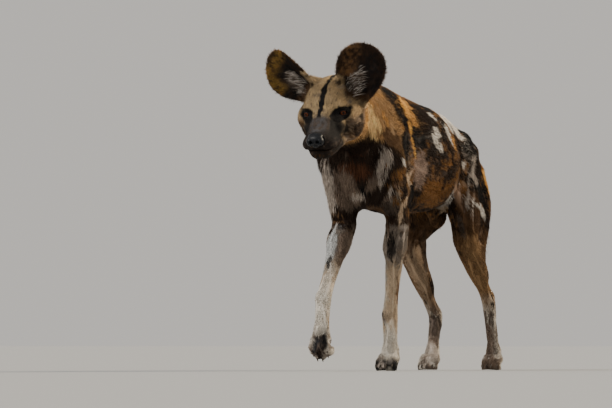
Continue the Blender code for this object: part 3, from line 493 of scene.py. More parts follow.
# Smoothing of the fused skin: how many rounds, the round whose sharper shape the paws keep for
# the most part, and the share of a round that is taken back where the body is thin.
SMOOTH_ROUNDS = 34
PAW_ROUND = 7
PAW_SHARE = 0.85
THIN_SHARE = 0.52


def settle_skin(body):
    """Evens out the skin, sinks it under the coat and adds the folds. Returns it as a Net."""
    net = Net(body.data)
    region = nearest_region(net.places)
    thin = by_region({"ear": 1.0, "head": 0.7, "fore_paw": 0.9, "hind_paw": 0.9, "": 0.0}, region)
    thin = net.spread(thin[:, None], 12)
    paws = by_region({"fore_paw": PAW_SHARE, "hind_paw": PAW_SHARE, "": 0.0}, region)
    crisp = net.spread(paws[:, None], 4)
    for turn in range(SMOOTH_ROUNDS):
        if turn == PAW_ROUND:
            early = net.places
        net.places = net.places + 0.5 * (net.mean(net.places) - net.places)
        net.places = net.places - THIN_SHARE * thin * (net.mean(net.places) - net.places)
    net.places = net.places * (1 - crisp) + early * crisp
    net.places = net.places + net.spread(drawn_thigh(net.places, region), 6)
    depth = net.spread(by_region(DEPTH, region)[:, None], 30)
    net.places = net.places - net.normals() * depth
    shaped = sculpted(in_head(net.places), region) + toe_grooves(net.places, region)
    # The pasterns widen towards the planted paws.
    low = net.places[:, 2]
    limb = by_region({"fore_leg": 1, "hind_leg": 1, "fore_paw": 1, "hind_paw": 1, "": 0}, region)
    shaped += limb * 0.0030 * bell(low - 0.052, 0.016)
    # The smoothing above thins the slender shafts of the legs, so they are filled out again.
    shaped += limb * 0.0012 * ramp(low, 0.070, 0.085) * ramp(low, 0.330, 0.280)
    net.places = net.places + net.normals() * net.spread(shaped[:, None], 1)
    return net, region


# Colours, linear.

INK = {
    "tan": (0.400, 0.240, 0.110),
    # The next two colours are the neck's own golden colours, painted brighter with part of the warm
    # back light that falls on the neck.
    "gold_cream": (0.860, 0.600, 0.290),
    "gold": (0.580, 0.310, 0.100),
    # The next colour is painted rim light, drawn as thin bright gold stripes along edges of the neck
    # and the rump.
    "bright_gold": (0.880, 0.460, 0.125),
    "cream": (0.600, 0.450, 0.310),
    "white": (0.800, 0.740, 0.670),
    "grey_white": (0.430, 0.370, 0.320),
    "grey_pink": (0.340, 0.245, 0.195),
    "pale_pink": (0.460, 0.290, 0.190),
    "grey": (0.210, 0.175, 0.145),
    "grey_brown": (0.170, 0.125, 0.095),
    "grey_dark_brown": (0.120, 0.085, 0.062),
    "dark_grey": (0.095, 0.072, 0.057),
    "brown": (0.150, 0.084, 0.042),
    "dark_brown": (0.090, 0.047, 0.022),
    "red_brown": (0.082, 0.034, 0.017),
    "black_brown": (0.020, 0.011, 0.007),
    "black": (0.007, 0.006, 0.006),
    "blue_black": (0.016, 0.018, 0.022),
    "ochre": (0.240, 0.112, 0.033),
    "gaskin": (0.265, 0.160, 0.078),
    "warm_grey": (0.400, 0.290, 0.195),
    "leg_white": (0.640, 0.590, 0.515),
    "blue_white": (0.600, 0.610, 0.610),
    "leg_tan": (0.550, 0.430, 0.305),
    "face": (0.330, 0.240, 0.135),
    # The next colour: bluish grey with a painted sheen of sky light, for the top of the muzzle.
    "bridge": (0.088, 0.084, 0.086),
    "bridge_brown": (0.070, 0.053, 0.043),
    "muzzle_side": (0.017, 0.012, 0.010),
    "chin": (0.020, 0.013, 0.009),
    "ear_rim": (0.165, 0.098, 0.024),
}
INK = {name: np.array(ink) for name, ink in INK.items()}

# The camera stands to the dog's front left.
CAMERA_TURN = math.radians(24)
CAMERA_RISE = math.radians(0.3)
CAMERA_AWAY = 14
ACROSS = np.array([math.cos(CAMERA_TURN), math.sin(CAMERA_TURN), 0.0])
INTO = np.array([-math.sin(CAMERA_TURN), math.cos(CAMERA_TURN), 0.0])

# Patches of the left side, the front and the legs, painted in this order: centre, half length
# and half width in millimetres, tilt in degrees as seen from the front left, how deep the patch
# reaches in millimetres, and its colour.
PATCHES = (
    # neck
    (60, -135, 611, 57.9, 41, -60, 80, "tan"),
    (57, -199, 609, 45.7, 12, -75, 70, "gold_cream"),
    (59, -162, 601, 24.1, 3.9, -72, 60, "gold_cream"),
    (60, -129, 616, 21.7, 3.4, -68, 60, "gold"),
    (78, -275, 642, 16.7, 8.4, -75, 70, "gold_cream"),
    (39, -52, 673, 29.1, 5.8, -32, 60, "black"),
    (60, 20, 629, 46.3, 15.8, -52, 60, "gold"),
    # Painted rim light: thin bright gold stripes along the edge of the neck.
    (57, -8, 647, 29.2, 4.9, -58, 60, "bright_gold"),
    (75, -8, 586, 34, 3.6, -82, 60, "bright_gold"),
    (82, -4, 538, 21.9, 3.2, -75, 60, "bright_gold"),
    (74, -96, 588, 24.2, 9.7, -70, 60, "tan"),
    (76, -123, 566, 29, 14.5, -50, 60, "brown"),
    # throat and chest
    (30, -191, 542, 65, 24.1, -14, 100, "black_brown"),
    (68, -147, 534, 28.9, 19.3, -30, 70, "black_brown"),
    (7, -200, 494, 40.9, 19.2, 0, 80, "red_brown"),
    (-28, -169, 445, 57.9, 33.8, -80, 90, "grey_brown"),
    (-73, -162, 458, 55.6, 15.7, -82, 90, "grey_white"),
    (29, -171, 451, 15.7, 13.3, 0, 60, "black"),
    (5, -171, 432, 21.7, 7.2, 0, 60, "grey_white"),
    (65, -147, 502, 45.8, 15.7, 80, 70, "grey_white"),
    (41, -163, 466, 19.3, 12, 60, 70, "grey_brown"),
    (68, -105, 438, 62.8, 21.8, -80, 70, "marble"),
    (66, -112, 445, 16.9, 4.8, 80, 50, "grey_white"),
    (83, -109, 467, 12.1, 3.9, 70, 50, "pale_pink"),
    (77, -89, 429, 14.5, 3.9, -75, 50, "grey"),
    (60, -88, 407, 16.9, 4.8, 85, 50, "grey"),
    (50, -106, 424, 14.5, 5.8, 70, 50, "grey_brown"),
    (45, -82, 395, 29.1, 14.5, 0, 70, "dark_grey"),
    (16, -94, 400, 21.8, 8.5, -25, 60, "brown"),
    # shoulder
    (84, -58, 546, 38.8, 12.1, -85, 70, "black"),
    (77, 36, 568, 31.7, 17.1, -70, 70, "black"),
    (91, -99, 482, 29, 19.3, -80, 60, "marble"),
    (95, -97, 508, 14.5, 4.3, -60, 50, "white"),
    (84, -39, 461, 21.8, 3.6, -75, 50, "cream"),
    (76, -64, 386, 29.1, 5.3, 85, 50, "cream"),
    (82, -54, 413, 19.4, 3.9, 70, 50, "cream"),
    # saddle and back
    (66, 110, 610, 51.5, 27, -58, 90, "black_brown"),
    (31, 178, 647, 27.1, 5.4, -22, 60, "black"),
    (75, 149, 588, 14.7, 7.4, -72, 60, "white"),
    (82, 121, 566, 19.6, 2.9, -76, 60, "white"),
    (84, 137, 557, 22.1, 2.9, -75, 60, "white"),
    (85, 156, 550, 14.7, 2, -74, 60, "white"),
    (52, 173, 627, 14.8, 3.7, -35, 60, "white"),
    (35, 306, 622, 37.3, 6.7, -42, 80, "white"),
    (50, 290, 604, 17.4, 2.7, -60, 60, "white"),
    (69, 239, 585, 29.7, 4.4, -66, 70, "white"),
    (52, 336, 591, 24.9, 5.5, -58, 70, "white"),
    (74, 260, 563, 17.3, 3.2, -70, 60, "gold"),
    (51, 382, 592, 25, 8, -45, 70, "black"),
    # flank
    (84, 33, 495, 46.3, 16.6, 83, 70, "grey_pink"),
    (74, 134, 432, 46.6, 31.9, -65, 80, "ochre"),
    (-53, 408, 379, 52.7, 25.1, 0, 90, "dark_brown"),
    # Behind the groin: dark brown, partly the coat's own colour and partly painted shade that gives
    # the bulge its form.
    (-46, 462, 378, 20.1, 15.1, -60, 60, "dark_brown"),
    (76, -1, 424, 34.1, 7.3, 88, 50, "black"),
    (61, 284, 433, 44.6, 6, 57, 60, "white"),
    (71, 292, 448, 19.8, 7.9, 60, 60, "pale_pink"),
    (31, 310, 406, 14.9, 5.5, 50, 60, "cream"),
    (57, 298, 408, 22.3, 8.7, 60, 50, "black_brown"),
    # rump and thigh
    (76, 361, 544, 47.3, 17.4, -75, 80, "black"),
    (86, 376, 504, 29.9, 12.5, -70, 80, "black_brown"),
    (101, 328, 369, 89.4, 34.8, -82, 70, "dark_brown"),
    (84, 363, 516, 24.9, 3, 80, 60, "grey_white"),
    (90, 355, 479, 19.9, 6.5, -60, 60, "grey_white"),
    (76, 317, 513, 9.4, 3.5, 85, 60, "white"),
    (89, 316, 453, 37.2, 2.7, 88, 60, "grey_white"),
    (90, 310, 423, 17.4, 6, 86, 60, "grey_white"),
    (86, 423, 436, 32.5, 9, -82, 60, "black"),
    (89, 405, 400, 22.5, 5.2, -72, 60, "white"),
    (103, 336, 416, 12.4, 3.2, -35, 60, "white"),
    # Painted rim light: a thin bright gold stripe along the back of the rump.
    (72, 472, 477, 37.6, 6, -70, 60, "bright_gold"),
    (76, 306, 361, 34.7, 7.4, -75, 60, "dark_grey"),
    # left foreleg
    (59, -56, 328, 31.5, 17, -80, 40, "grey"),
    (78, -50, 352, 12.1, 7.3, 0, 30, "grey_white"),
    (47, -56, 304, 36.4, 10.7, -86, 30, "black"),
    (72, -48, 330, 12.1, 5.3, -70, 30, "black"),
    (58, -36, 272, 17, 7.3, -80, 30, "grey"),
    (38, -7, 210, 63.3, 21.9, -85, 40, "leg_tan"),
    (33, 14, 198, 48.8, 4.4, -88, 30, "brown"),
    (17, 9, 120, 48.8, 24.4, -88, 40, "leg_tan"),
    (-7, 18, 130, 19.5, 3.4, -80, 30, "dark_grey"),
    (16, 7, 63, 41.5, 24.4, -88, 40, "leg_white"),
    (16, -30, 12, 26.8, 12.2, 0, 40, "black"),
    (8, -31, 12, 6.3, 8.3, 0, 30, "grey_white"),
    # right foreleg
    (-75, -141, 407, 31.5, 14.5, -80, 50, "grey_white"),
    (-51, -135, 376, 33.9, 21.8, -75, 50, "black_brown"),
    (-62, -140, 390, 16.9, 3.4, -15, 40, "brown"),
    (-62, -135, 364, 17, 3.4, -5, 40, "brown"),
    (-60, -173, 303, 53.1, 13.3, 82, 30, "blue_white"),
    (-34, -162, 298, 45.9, 15.7, 75, 40, "grey_brown"),
    (-53, -197, 264, 16.9, 4.3, 80, 30, "black"),
    (-44, -261, 172, 43.2, 21.6, 85, 40, "leg_white"),
    (-52, -260, 109, 38.4, 19.2, 88, 40, "leg_white"),
    (-52, -261, 56, 28.8, 21.6, 75, 50, "dark_grey"),
    (-35, -262, 68, 26.4, 7.7, 85, 50, "black"),
    (-61, -262, 64, 24, 5.3, 78, 50, "blue_black"),
    (-53, -256, 47, 21.6, 3.8, 80, 50, "blue_black"),
    (-57, -245, 32, 7.2, 19.2, 0, 50, "black_brown"),
    (-70, -242, 36, 10.8, 4.8, 0, 30, "grey_white"),
    # right hind leg
    (-68, 367, 326, 37.5, 22.5, -80, 50, "dark_brown"),
    (-96, 393, 256, 50.2, 10, -66, 40, "warm_grey"),
    (-82, 420, 236, 60.3, 18.8, -72, 40, "warm_grey"),
    (-75, 384, 286, 25.1, 15, -80, 40, "warm_grey"),
    (-70, 416, 271, 22.6, 4, -85, 40, "grey_dark_brown"),
    (-77, 483, 202, 75.6, 4.5, -72, 40, "black_brown"),
    (-78, 505, 109, 30.3, 17.7, -75, 40, "dark_grey"),
    (-71, 456, 45, 40.3, 17.6, -80, 40, "grey_white"),
    # left hind leg
    (99, 333, 299, 39.8, 27.3, -80, 50, "gaskin"),
    (81, 419, 228, 50, 17.5, -75, 50, "gaskin"),
    (74, 499, 179, 20.1, 6, -75, 40, "black"),
    (48, 522, 137, 20.1, 4.5, -85, 30, "dark_grey"),
    (67, 518, 131, 22.6, 6, -85, 30, "dark_grey"),
    (47, 544, 71, 45.4, 15.1, -86, 40, "grey_brown"),
    (63, 521, 15, 25.2, 20.1, 0, 50, "grey_dark_brown"),
)

# The ears: foot of the ear in the head's frame, the way up it and the way its cup faces.
EAR_HEIGHT = 0.129
EAR_HALF = 0.058
EARS = {
    "ear_left": ((0.061, 0.050, 0.027), (0.285, 0.100, 0.930), (0.45, -0.89, 0.02)),
    "ear_right": ((-0.060, 0.052, 0.036), (-0.730, -0.180, 0.655), (-0.46, -0.88, -0.20)),
}


def ear_frame(name):
    """Foot of the ear, its way up, the way from the head's side of it outwards, and its front."""
    foot, up, face = EARS[name]
    up = unit(np.array(up))
    face = np.array(face)
    face = unit(face - up * (face @ up))
    out = np.cross(up, face)
    if out[0] * (1 if name == "ear_left" else -1) < 0:
        out = -out
    return np.array(HEAD @ Vector(foot)), up, out, face


def ear_place(name, places):
    """Height up the ear and distance outwards, as shares of its size, and metres to its front."""
    foot, up, out, face = ear_frame(name)
    away = places - foot
    return away @ up / EAR_HEIGHT, away @ out / EAR_HALF, away @ face


def paint(colour, ink, share):
    """Lays an ink, named or given as a colour, over a colour."""
    return mix(colour, INK[ink] if isinstance(ink, str) else ink, np.clip(share, 0, 1))


def tortoise(d, seed):
    """Ochre and black in ragged flecks."""
    n = rough(d * (1.0, 0.9, 0.7), 0.017, seed) + 0.5 * rough(d, 0.006, seed + 5)
    base = np.tile(INK["black_brown"], (len(d), 1))
    base = paint(base, "brown", ramp(n, -0.05, 0.15) * 0.9)
    return paint(base, "ochre", ramp(n, 0.15, 0.45))


def body_colour(d):
    """The trunk, the neck and the thighs before the patches that the photograph shows."""
    colour = tortoise(d, 11)
    wide = rough(d * (1.0, 1.0, 0.8), 0.120, 21) + 0.25 * rough(d, 0.022, 22)
    colour = paint(colour, "black", ramp(wide, 0.28, 0.42))
    gold = rough(d * (1.0, 1.0, 0.8), 0.105, 31) + 0.25 * rough(d, 0.020, 32)
    colour = paint(colour, "ochre", ramp(gold, 0.42, 0.60) * 0.85)
    pale = rough(d * (1.0, 0.8, 0.8), 0.085, 43) + 0.30 * rough(d, 0.014, 44)
    far_side = ramp(d[:, 0], 0.015, -0.015) * ramp(d[:, 1], -0.16, -0.12)
    colour = paint(colour, "white", ramp(pale, 0.62, 0.72) * far_side)
    # The underside of the trunk is painted dark brown: painted shade under the body.
    belly = ramp(d[:, 2], 0.385, 0.355) * ramp(d[:, 1], 0.28, 0.22)
    colour = paint(colour, "dark_brown", belly * 0.8)
    # The neck: tan, with a dark nape.
    neck = ramp(d[:, 1] + 0.55 * (d[:, 2] - 0.60), -0.045, -0.085) * ramp(d[:, 2], 0.49, 0.54)
    tan = mix(INK["tan"], INK["gold"], ramp(rough(d, 0.03, 51), -0.2, 0.6))
    colour = mix(colour, tan, neck)
    nape = bell(d[:, 0] - 0.006, 0.014) * ramp(d[:, 2], 0.655, 0.675)
    colour = paint(colour, "black", nape * ramp(d[:, 1], 0.02, -0.02) * 0.9)
    # The front of the chest and the throat.
    chest = ramp(d[:, 1], -0.095, -0.125) * ramp(d[:, 2], 0.56, 0.51)
    n = rough(d * (1.0, 1.0, 0.55), 0.022, 61)
    front = mix(INK["black_brown"], INK["grey_brown"], ramp(n, -0.35, 0.15))
    front = paint(front, "grey_white", ramp(n, 0.20, 0.60) * 0.8)
    colour = mix(colour, front, chest)
    # Under the jaw and at the throat the coat is dark.
    h = in_head(d + np.array(ORIGIN))
    n = rough(d, 0.015, 62)
    under = ramp(h[:, 2] - 0.20 * (h[:, 1] - 0.10) + 0.010 * n, -0.080, -0.097)
    under = under * ramp(h[:, 1], 0.0, 0.03) * ramp(h[:, 1], 0.22, 0.17)
    return paint(colour, "black_brown", under * 0.95)


def leg_colour(d, fore, right):
    """The limbs below the trunk, by height."""
    z = d[:, 2] + 0.012 * rough(d, 0.020, 71)
    n = rough(d * (1.0, 1.0, 0.5), 0.016, 72)
    spots = rough(d * (1.0, 1.0, 0.7), 0.034, 73 + right)
    if fore:
        colour = mix(INK["leg_white"], INK["leg_tan"], ramp(n, -0.3, 0.4))
        colour = paint(colour, "grey_brown", ramp(z, 0.20, 0.29) * 0.75)
        colour = paint(colour, "black_brown", ramp(spots, 0.40, 0.55) * ramp(z, 0.14, 0.22))
        colour = paint(colour, "dark_brown", ramp(z, 0.30, 0.36) * ramp(n, -0.4, 0.3))
    else:
        colour = mix(INK["grey_brown"], INK["leg_white"], ramp(n, -0.2, 0.5))
        colour = mix(colour, INK["gaskin"], ramp(z, 0.14, 0.20))
        colour = paint(colour, "black_brown", ramp(spots, 0.42, 0.60) * ramp(z, 0.10, 0.16))
        colour = paint(colour, "dark_brown", ramp(z, 0.22, 0.32) * 0.8)
        # The far right hind leg's gaskin is painted duller and greyer: painted shade.
        if right:
            colour = paint(colour, "grey_brown", ramp(z, 0.14, 0.20) * 0.35)
        colour = paint(colour, "black_brown", ramp(n, 0.15, 0.5) * ramp(z, 0.24, 0.32))
    return colour


def paw_colour(d, fore):
    """Grey-white above the toes; dark toes in front."""
    n = rough(d, 0.012, 81)
    colour = mix(INK["leg_white"], INK["grey_brown"], ramp(n, -0.5, 0.5))
    dark = ramp(n + (0.35 if fore else -0.1), -0.35, 0.1)
    toes = dark * ramp(d[:, 2], 0.034, 0.022)
    return paint(colour, "blue_black" if fore else "grey_dark_brown", toes)


def head_colour(h):
    """The head, from its places in its own frame."""
    x, y, z = h.T
    side = np.abs(x)
    fine = rough(h * (1.0, 0.6, 0.6), 0.0055, 91)
    wave = rough(h, 0.020, 92)
    cream = INK["gold_cream"] * 0.70
    colour = mix(INK["face"], cream, ramp(wave + 0.5 * fine, -0.2, 0.9))
    colour = paint(colour, "dark_grey", ramp(fine, 0.10, 0.50) * ramp(z, -0.012, 0.012) * 0.80)
    brow = ramp(wave, 0.15, 0.6) * ramp(side, 0.010, 0.024) * ramp(z, 0.0, 0.02)
    colour = paint(colour, "grey", brow * 0.7)
    # Cheeks: tan and grey, with creamy strands.
    cheek = ramp(z, 0.004, -0.022) * ramp(y, -0.018, 0.004)
    streak = rough(h * (1.0, 0.35, 1.0), 0.0075, 93)
    cheeks = mix(INK["brown"], INK["grey_brown"], ramp(wave, -0.4, 0.4))
    cheeks = paint(cheeks, "cream", ramp(streak, 0.20, 0.60) * 0.75)
    cheeks = paint(cheeks, "black_brown", ramp(streak, -0.15, -0.55))
    colour = mix(colour, cheeks, cheek * 0.90)
    behind = np.hypot((y - 0.034) / 0.024, (z + 0.044) / 0.026) + 0.45 * streak
    colour = paint(colour, "black_brown", ramp(behind, 1.15, 0.75) * (side > 0.02) * 0.80)
    # Muzzle: grey-brown on the bridge with a painted bluish sheen of sky light on its top, darker to
    # the sides and the lips.
    muzzle = ramp(y + 0.35 * (z + 0.01), -0.022, -0.042)
    bridge = mix(INK["bridge"], INK["bridge_brown"], ramp(fine, -0.5, 0.6))
    colour = mix(colour, bridge, muzzle)
    flank = ramp(z - 0.35 * (side - 0.014) + 0.004 * wave, -0.008, -0.036) * muzzle
    colour = paint(colour, "muzzle_side", flank * 0.95)
    colour = paint(colour, "grey_brown", flank * ramp(fine, 0.25, 0.6) * 0.40)
    # Black round the eyes, running down towards the muzzle.
    around = np.hypot((side - 0.0415) / 0.0215, (z - 0.0005) / 0.0160) + 0.22 * fine
    colour = paint(colour, "black", ramp(around, 1.15, 0.85) * ramp(y, 0.045, 0.030))
    slant = side - (0.0355 - 0.30 * (z + 0.012))
    down = np.hypot(slant / 0.0125, (z + 0.024) / 0.026) + 0.22 * fine
    colour = paint(colour, "black", ramp(down, 1.15, 0.75) * ramp(y, 0.030, 0.015) * 0.88)
    # The stripe from the crown to between the eyes.
    middle = np.interp(z, (0.005, 0.040, 0.058, 0.070), (-0.0026, 0.0003, 0.0034, 0.0060))
    width = np.interp(
        z, (-0.004, 0.006, 0.035, 0.050, 0.066), (0.0020, 0.0050, 0.0076, 0.0072, 0.0050))
    hairs = rough(h * (1.0, 0.30, 0.30), 0.0034, 94)
    width = width * (0.92 + 0.50 * rough(h * (0.2, 1.0, 1.0), 0.011, 95))
    stripe = np.abs(x - middle + 0.0042 * hairs) / width + 0.34 * fine
    colour = paint(colour, "black", ramp(stripe, 1.10, 0.85) * ramp(z, 0.001, 0.007))
    # A dark spot at the inner foot of each ear.
    for place in ((-0.037, 0.0495, 0.0572), (0.028, 0.0446, 0.0604)):
        near = np.linalg.norm((h - place) / (0.006, 0.012, 0.009), axis=1) + 0.2 * fine
        colour = paint(colour, "black_brown", ramp(near, 1.1, 0.6) * 0.8)
    # Dark lips, a dark chin with a few ochre hairs, a dark throat and a black ring round the nose.
    above = z - mouth_line(y)
    lips = bell(above, 0.0052) * ramp(y, 0.000, -0.014)
    colour = paint(colour, "black_brown", lips * 0.95)
    chin = ramp(above, -0.006, -0.011) * ramp(y, -0.03, -0.06)
    colour = paint(colour, "chin", chin)
    colour = paint(colour, "ochre", chin * ramp(fine, 0.0, 0.5) * ramp(above, -0.020, -0.014) * 0.3)
    throat = ramp(z - 0.35 * y, -0.085, -0.105) * ramp(y, 0.0, 0.02)
    colour = paint(colour, "black_brown", throat * 0.8)
    front = np.linalg.norm((h - NOSE_MIDDLE) / (0.026, 0.022, 0.021), axis=1)
    return paint(colour, "black", ramp(front, 1.2, 0.95))


def ear_colour(name, places, normals):
    height, out = ear_place(name, places)[:2]
    inside = ramp(normals @ ear_frame(name)[3], 0.05, 0.35)
    n = rough(places, 0.0085, 101)
    colour = paint(np.tile(INK["dark_brown"], (len(places), 1)), "ochre", ramp(n, 0.0, 0.6) * 0.6)
    colour = paint(colour, "black_brown", ramp(n, -0.1, -0.5))
    cup = paint(np.tile(INK["black_brown"], (len(places), 1)), "black", ramp(n, -0.4, 0.4))
    if name == "ear_left":
        margin = ramp(out, -0.10, -0.40) * ramp(height, 0.22, 0.36)
        cup = paint(cup, "brown", margin * ramp(n, -0.3, 0.2) * 0.8)
        cup = paint(cup, "ochre", margin * ramp(n, 0.15, 0.6) * 0.6)
        pale = np.hypot((out + 0.12) / 0.42, (height - 0.30) / 0.22)
    else:
        margin = np.maximum(ramp(height, 0.62, 0.80), ramp(out, 0.35, 0.62) * ramp(height, 0.3, 0.4))
        cup = paint(cup, "ear_rim", margin * ramp(n, -0.7, 0.0))
        cup = paint(cup, "ochre", margin * ramp(n, 0.2, 0.6) * 0.6)
        pale = np.hypot((out - 0.10) / 0.45, (height - 0.34) / 0.22)
    cup = paint(cup, "grey_brown", ramp(pale, 1.0, 0.4) * 0.45)
    rim = np.maximum(ramp(np.abs(out), 0.80, 0.93), ramp(height, 0.86, 0.95))
    cup = paint(cup, "black_brown", rim * 0.85)
    colour = mix(colour, cup, inside)
    return paint(colour, "dark_brown", ramp(height, 0.12, 0.02) * 0.8)


def tail_share(places):
    """How far along the tail each place lies, from 0 at its root to 1, and the tail's way there."""
    line = np.array([c for c, _ in TAIL_CORE]) + np.array(ORIGIN)
    steps = np.linalg.norm(np.diff(line, axis=0), axis=1)
    reach = np.concatenate([[0], np.cumsum(steps)]) / steps.sum()
    best = np.full(len(places), 9.0)
    share = np.zeros(len(places))
    along = np.zeros_like(places)
    for n, step in enumerate(np.diff(line, axis=0)):
        t = np.clip((places - line[n]) @ step / (step @ step), 0, 1)
        gap = np.linalg.norm(places - line[n] - t[:, None] * step, axis=1)
        near = gap < best
        best = np.where(near, gap, best)
        share = np.where(near, reach[n] + t * (reach[n + 1] - reach[n]), share)
        along[near] = unit(step)
    return share, along


def tail_colour(places):
    share = tail_share(places)[0] + 0.035 * rough(places, 0.012, 111)
    colour = paint(tortoise(in_dog(places), 112), "tan", ramp(share, 0.30, 0.10) * 0.6)
    colour = paint(colour, "black", ramp(share, 0.34, 0.40))
    return paint(colour, "white", ramp(share, 0.56, 0.64))


def markings(places, normals, region):
    """The colour of the coat at each place. Skin and tufts both use it."""
    d = in_dog(places)
    h = in_head(places)
    colour = body_colour(d)
    for name in REGIONS:
        own = among(region, name)
        if name == "head":
            made = head_colour(h[own])
            for ear in EARS:
                height, out, front = ear_place(ear, places[own])
                outer = out > 0
                stalk = ramp(height, -0.10, 0.0) * ramp(np.abs(front) - 0.015 * outer, 0.050, 0.036)
                stalk = stalk * ramp(np.abs(out) - 0.9 * height - 0.45 * outer, 0.46, 0.33)
                made = mix(made, ear_colour(ear, places[own], normals[own]), stalk)
            back = ramp(h[own][:, 1] - 0.5 * h[own][:, 2], 0.070, 0.110)
            colour[own] = mix(made, colour[own], back)
        elif name.startswith("ear"):
            colour[own] = ear_colour(name, places[own], normals[own])
        elif name == "tail":
            colour[own] = tail_colour(places[own])
        elif "leg" in name:
            made = leg_colour(d[own], name.startswith("fore"), name.endswith("right"))
            colour[own] = mix(made, colour[own], ramp(d[own][:, 2], 0.33, 0.37))
        elif "paw" in name:
            colour[own] = paw_colour(d[own], name.startswith("fore"))
    # The patches, with edges drawn out along the hair.
    own = np.flatnonzero(~among(region, "head", "ear_left", "ear_right", "tail"))
    q = d[own]
    q = q + 0.0030 * np.stack([rough(q, 0.012, 121), rough(q, 0.012, 122), rough(q, 0.012, 123)], 1)
    hair = np.array((0.0, 0.80, -0.60))
    hair = hair + ramp(q[:, 2], 0.42, 0.36)[:, None] * ((0.0, 0.0, -1.0) - hair)
    along = np.einsum("ij,ij->i", q, hair)[:, None] * hair
    ragged = 0.44 * rough(q - 0.75 * along, 0.0065, 124)
    flat = np.stack([q @ ACROSS, q[:, 2], q @ INTO], 1)
    here = colour[own]
    marble = tortoise(q, 131)
    for x, y, z, long, wide, tilt, reach, ink in PATCHES:
        centre = np.array((x, y, z)) / 1000
        away = flat - (centre @ ACROSS, centre[2], centre @ INTO)
        turn = math.radians(tilt)
        a = (away[:, 0] * math.cos(turn) + away[:, 1] * math.sin(turn)) / (long / 1000)
        b = (away[:, 1] * math.cos(turn) - away[:, 0] * math.sin(turn)) / (wide / 1000)
        r = np.hypot(np.hypot(a, b), away[:, 2] / (reach / 1000)) + ragged
        share = ramp(r, 1.12, 0.92)
        here = mix(here, marble, share) if ink == "marble" else paint(here, ink, share)
    colour[own] = here
    return colour * (1 + 0.10 * rough(places, 0.0045, 141))[:, None]


def strands(places, flow, size, seed):
    """Streaks along the lie of the coat, from about -1 to 1."""
    total = 0
    for axis in range(3):
        stretch = np.ones(3)
        stretch[axis] = 0.22
        total = total + rough(places * stretch, size, seed + axis) * flow[:, axis] ** 2
    return total


# Lie of the coat.

def lie(net, normals, region):
    """The way the hair points at each place, along the skin."""
    places = net.places
    d = in_dog(places)
    h = in_head(places)
    back = np.tile((0.0, 1.0, -0.42), (len(d), 1))
    down = np.tile((0.0, 0.22, -1.0), (len(d), 1))
    low = np.maximum(ramp(d[:, 2], 0.47, 0.38), ramp(d[:, 1], -0.085, -0.135))
    thigh = ramp(d[:, 1], 0.24, 0.36) * ramp(d[:, 2], 0.56, 0.46)
    belly = ramp(d[:, 2], 0.46, 0.40) * ramp(d[:, 1], 0.06, 0.10) * ramp(d[:, 1], 0.28, 0.24)
    flow = mix(back, down, np.maximum(low, thigh) * (1 - belly))
    turn = np.array(HEAD)[:3, :3]
    for name in REGIONS:
        own = among(region, name)
        if name == "head":
            out = unit(h[own] - (0, -0.115, -0.045)) + (0.0, 0.55, 0.0)
            out[:, 2] -= 0.5 * ramp(h[own][:, 2], 0.0, -0.04) * ramp(h[own][:, 1], -0.02, 0.03)
            flow[own] = unit(out) @ turn.T
        elif name.startswith("ear"):
            across = ear_place(name, places[own])[1]
            up, out = ear_frame(name)[1:3]
            flow[own] = up + out * (0.55 * across)[:, None]
        elif name == "tail":
            flow[own] = tail_share(places[own])[1] + (0, 0.10, -0.05)
        elif name.startswith("hind_leg"):
            flow[own] = (0.0, 0.42, -1.0)
        elif "leg" in name:
            flow[own] = (0.0, 0.10, -1.0)
        elif "paw" in name:
            flow[own] = (0.0, -0.75, -0.62)
    flow = net.spread(unit(flow), 24)
    swirl = rough(places, 0.045, 151)[:, None] * 0.22 + rough(places, 0.016, 152)[:, None] * 0.12
    flow = flow + np.cross(normals, flow) * swirl
    return unit(flow - normals * np.einsum("ij,ij->i", flow, normals)[:, None])


def lighten(body, net, region):
    """Gives the skin the net's places and fewer faces, most of them on the head."""
    set_places(body.data, net.places)
    keep = net.spread(by_region({
        "head": 0.97, "ear": 0.60, "fore_paw": 0.65, "hind_paw": 0.65, "": 0.25,
    }, region)[:, None], 6)[:, 0]
    group = body.vertex_groups.new(name="Keep")
    levels = np.round(keep * 10).astype(int)
    for level in range(11):
        chosen = np.flatnonzero(levels == level)
        if len(chosen):
            group.add(chosen.tolist(), 1 - level / 10, "REPLACE")
    fewer = body.modifiers.new("Fewer", "DECIMATE")
    fewer.ratio = SKIN_TRIANGLES / len(net.triangles)
    fewer.vertex_group = "Keep"
    apply_modifiers(body)
    body.vertex_groups.clear()


# OFBake maps.

MAP_GAP = 0.006


def islands(island, points, scale):
    """Places of the points on a map, with their islands laid side by side in the unit square."""
    keys, which = np.unique(island, return_inverse=True)
    which = which.ravel()
    axis = (keys % 6) // 2
    columns = np.array([(1, 2), (0, 2), (0, 1)])[axis]
    uv = np.stack([points[np.arange(len(points)), columns[which, c]] for c in (0, 1)], 1)
    uv = uv * scale[which][:, None]
    low = np.stack([np.full(len(keys), np.inf)] * 2, 1)
    high = -low
    np.minimum.at(low, which, uv)
    np.maximum.at(high, which, uv)
    size = high - low + MAP_GAP
    order = np.argsort(-size[:, 1])
    width = math.sqrt((size[:, 0] * size[:, 1]).sum()) * 1.02
    while True:
        width = max(width, size[:, 0].max())
        corner = np.zeros((len(keys), 2))
        x = y = shelf = 0.0
        for n in order:
            if x + size[n, 0] > width:
                x = 0.0
                y += shelf
                shelf = 0.0
            corner[n] = (x, y)
            x += size[n, 0]
            shelf = max(shelf, size[n, 1])
        if y + shelf <= width:
            break
        width *= 1.03
    return (uv - low[which] + MAP_GAP / 2 + corner[which]) / width


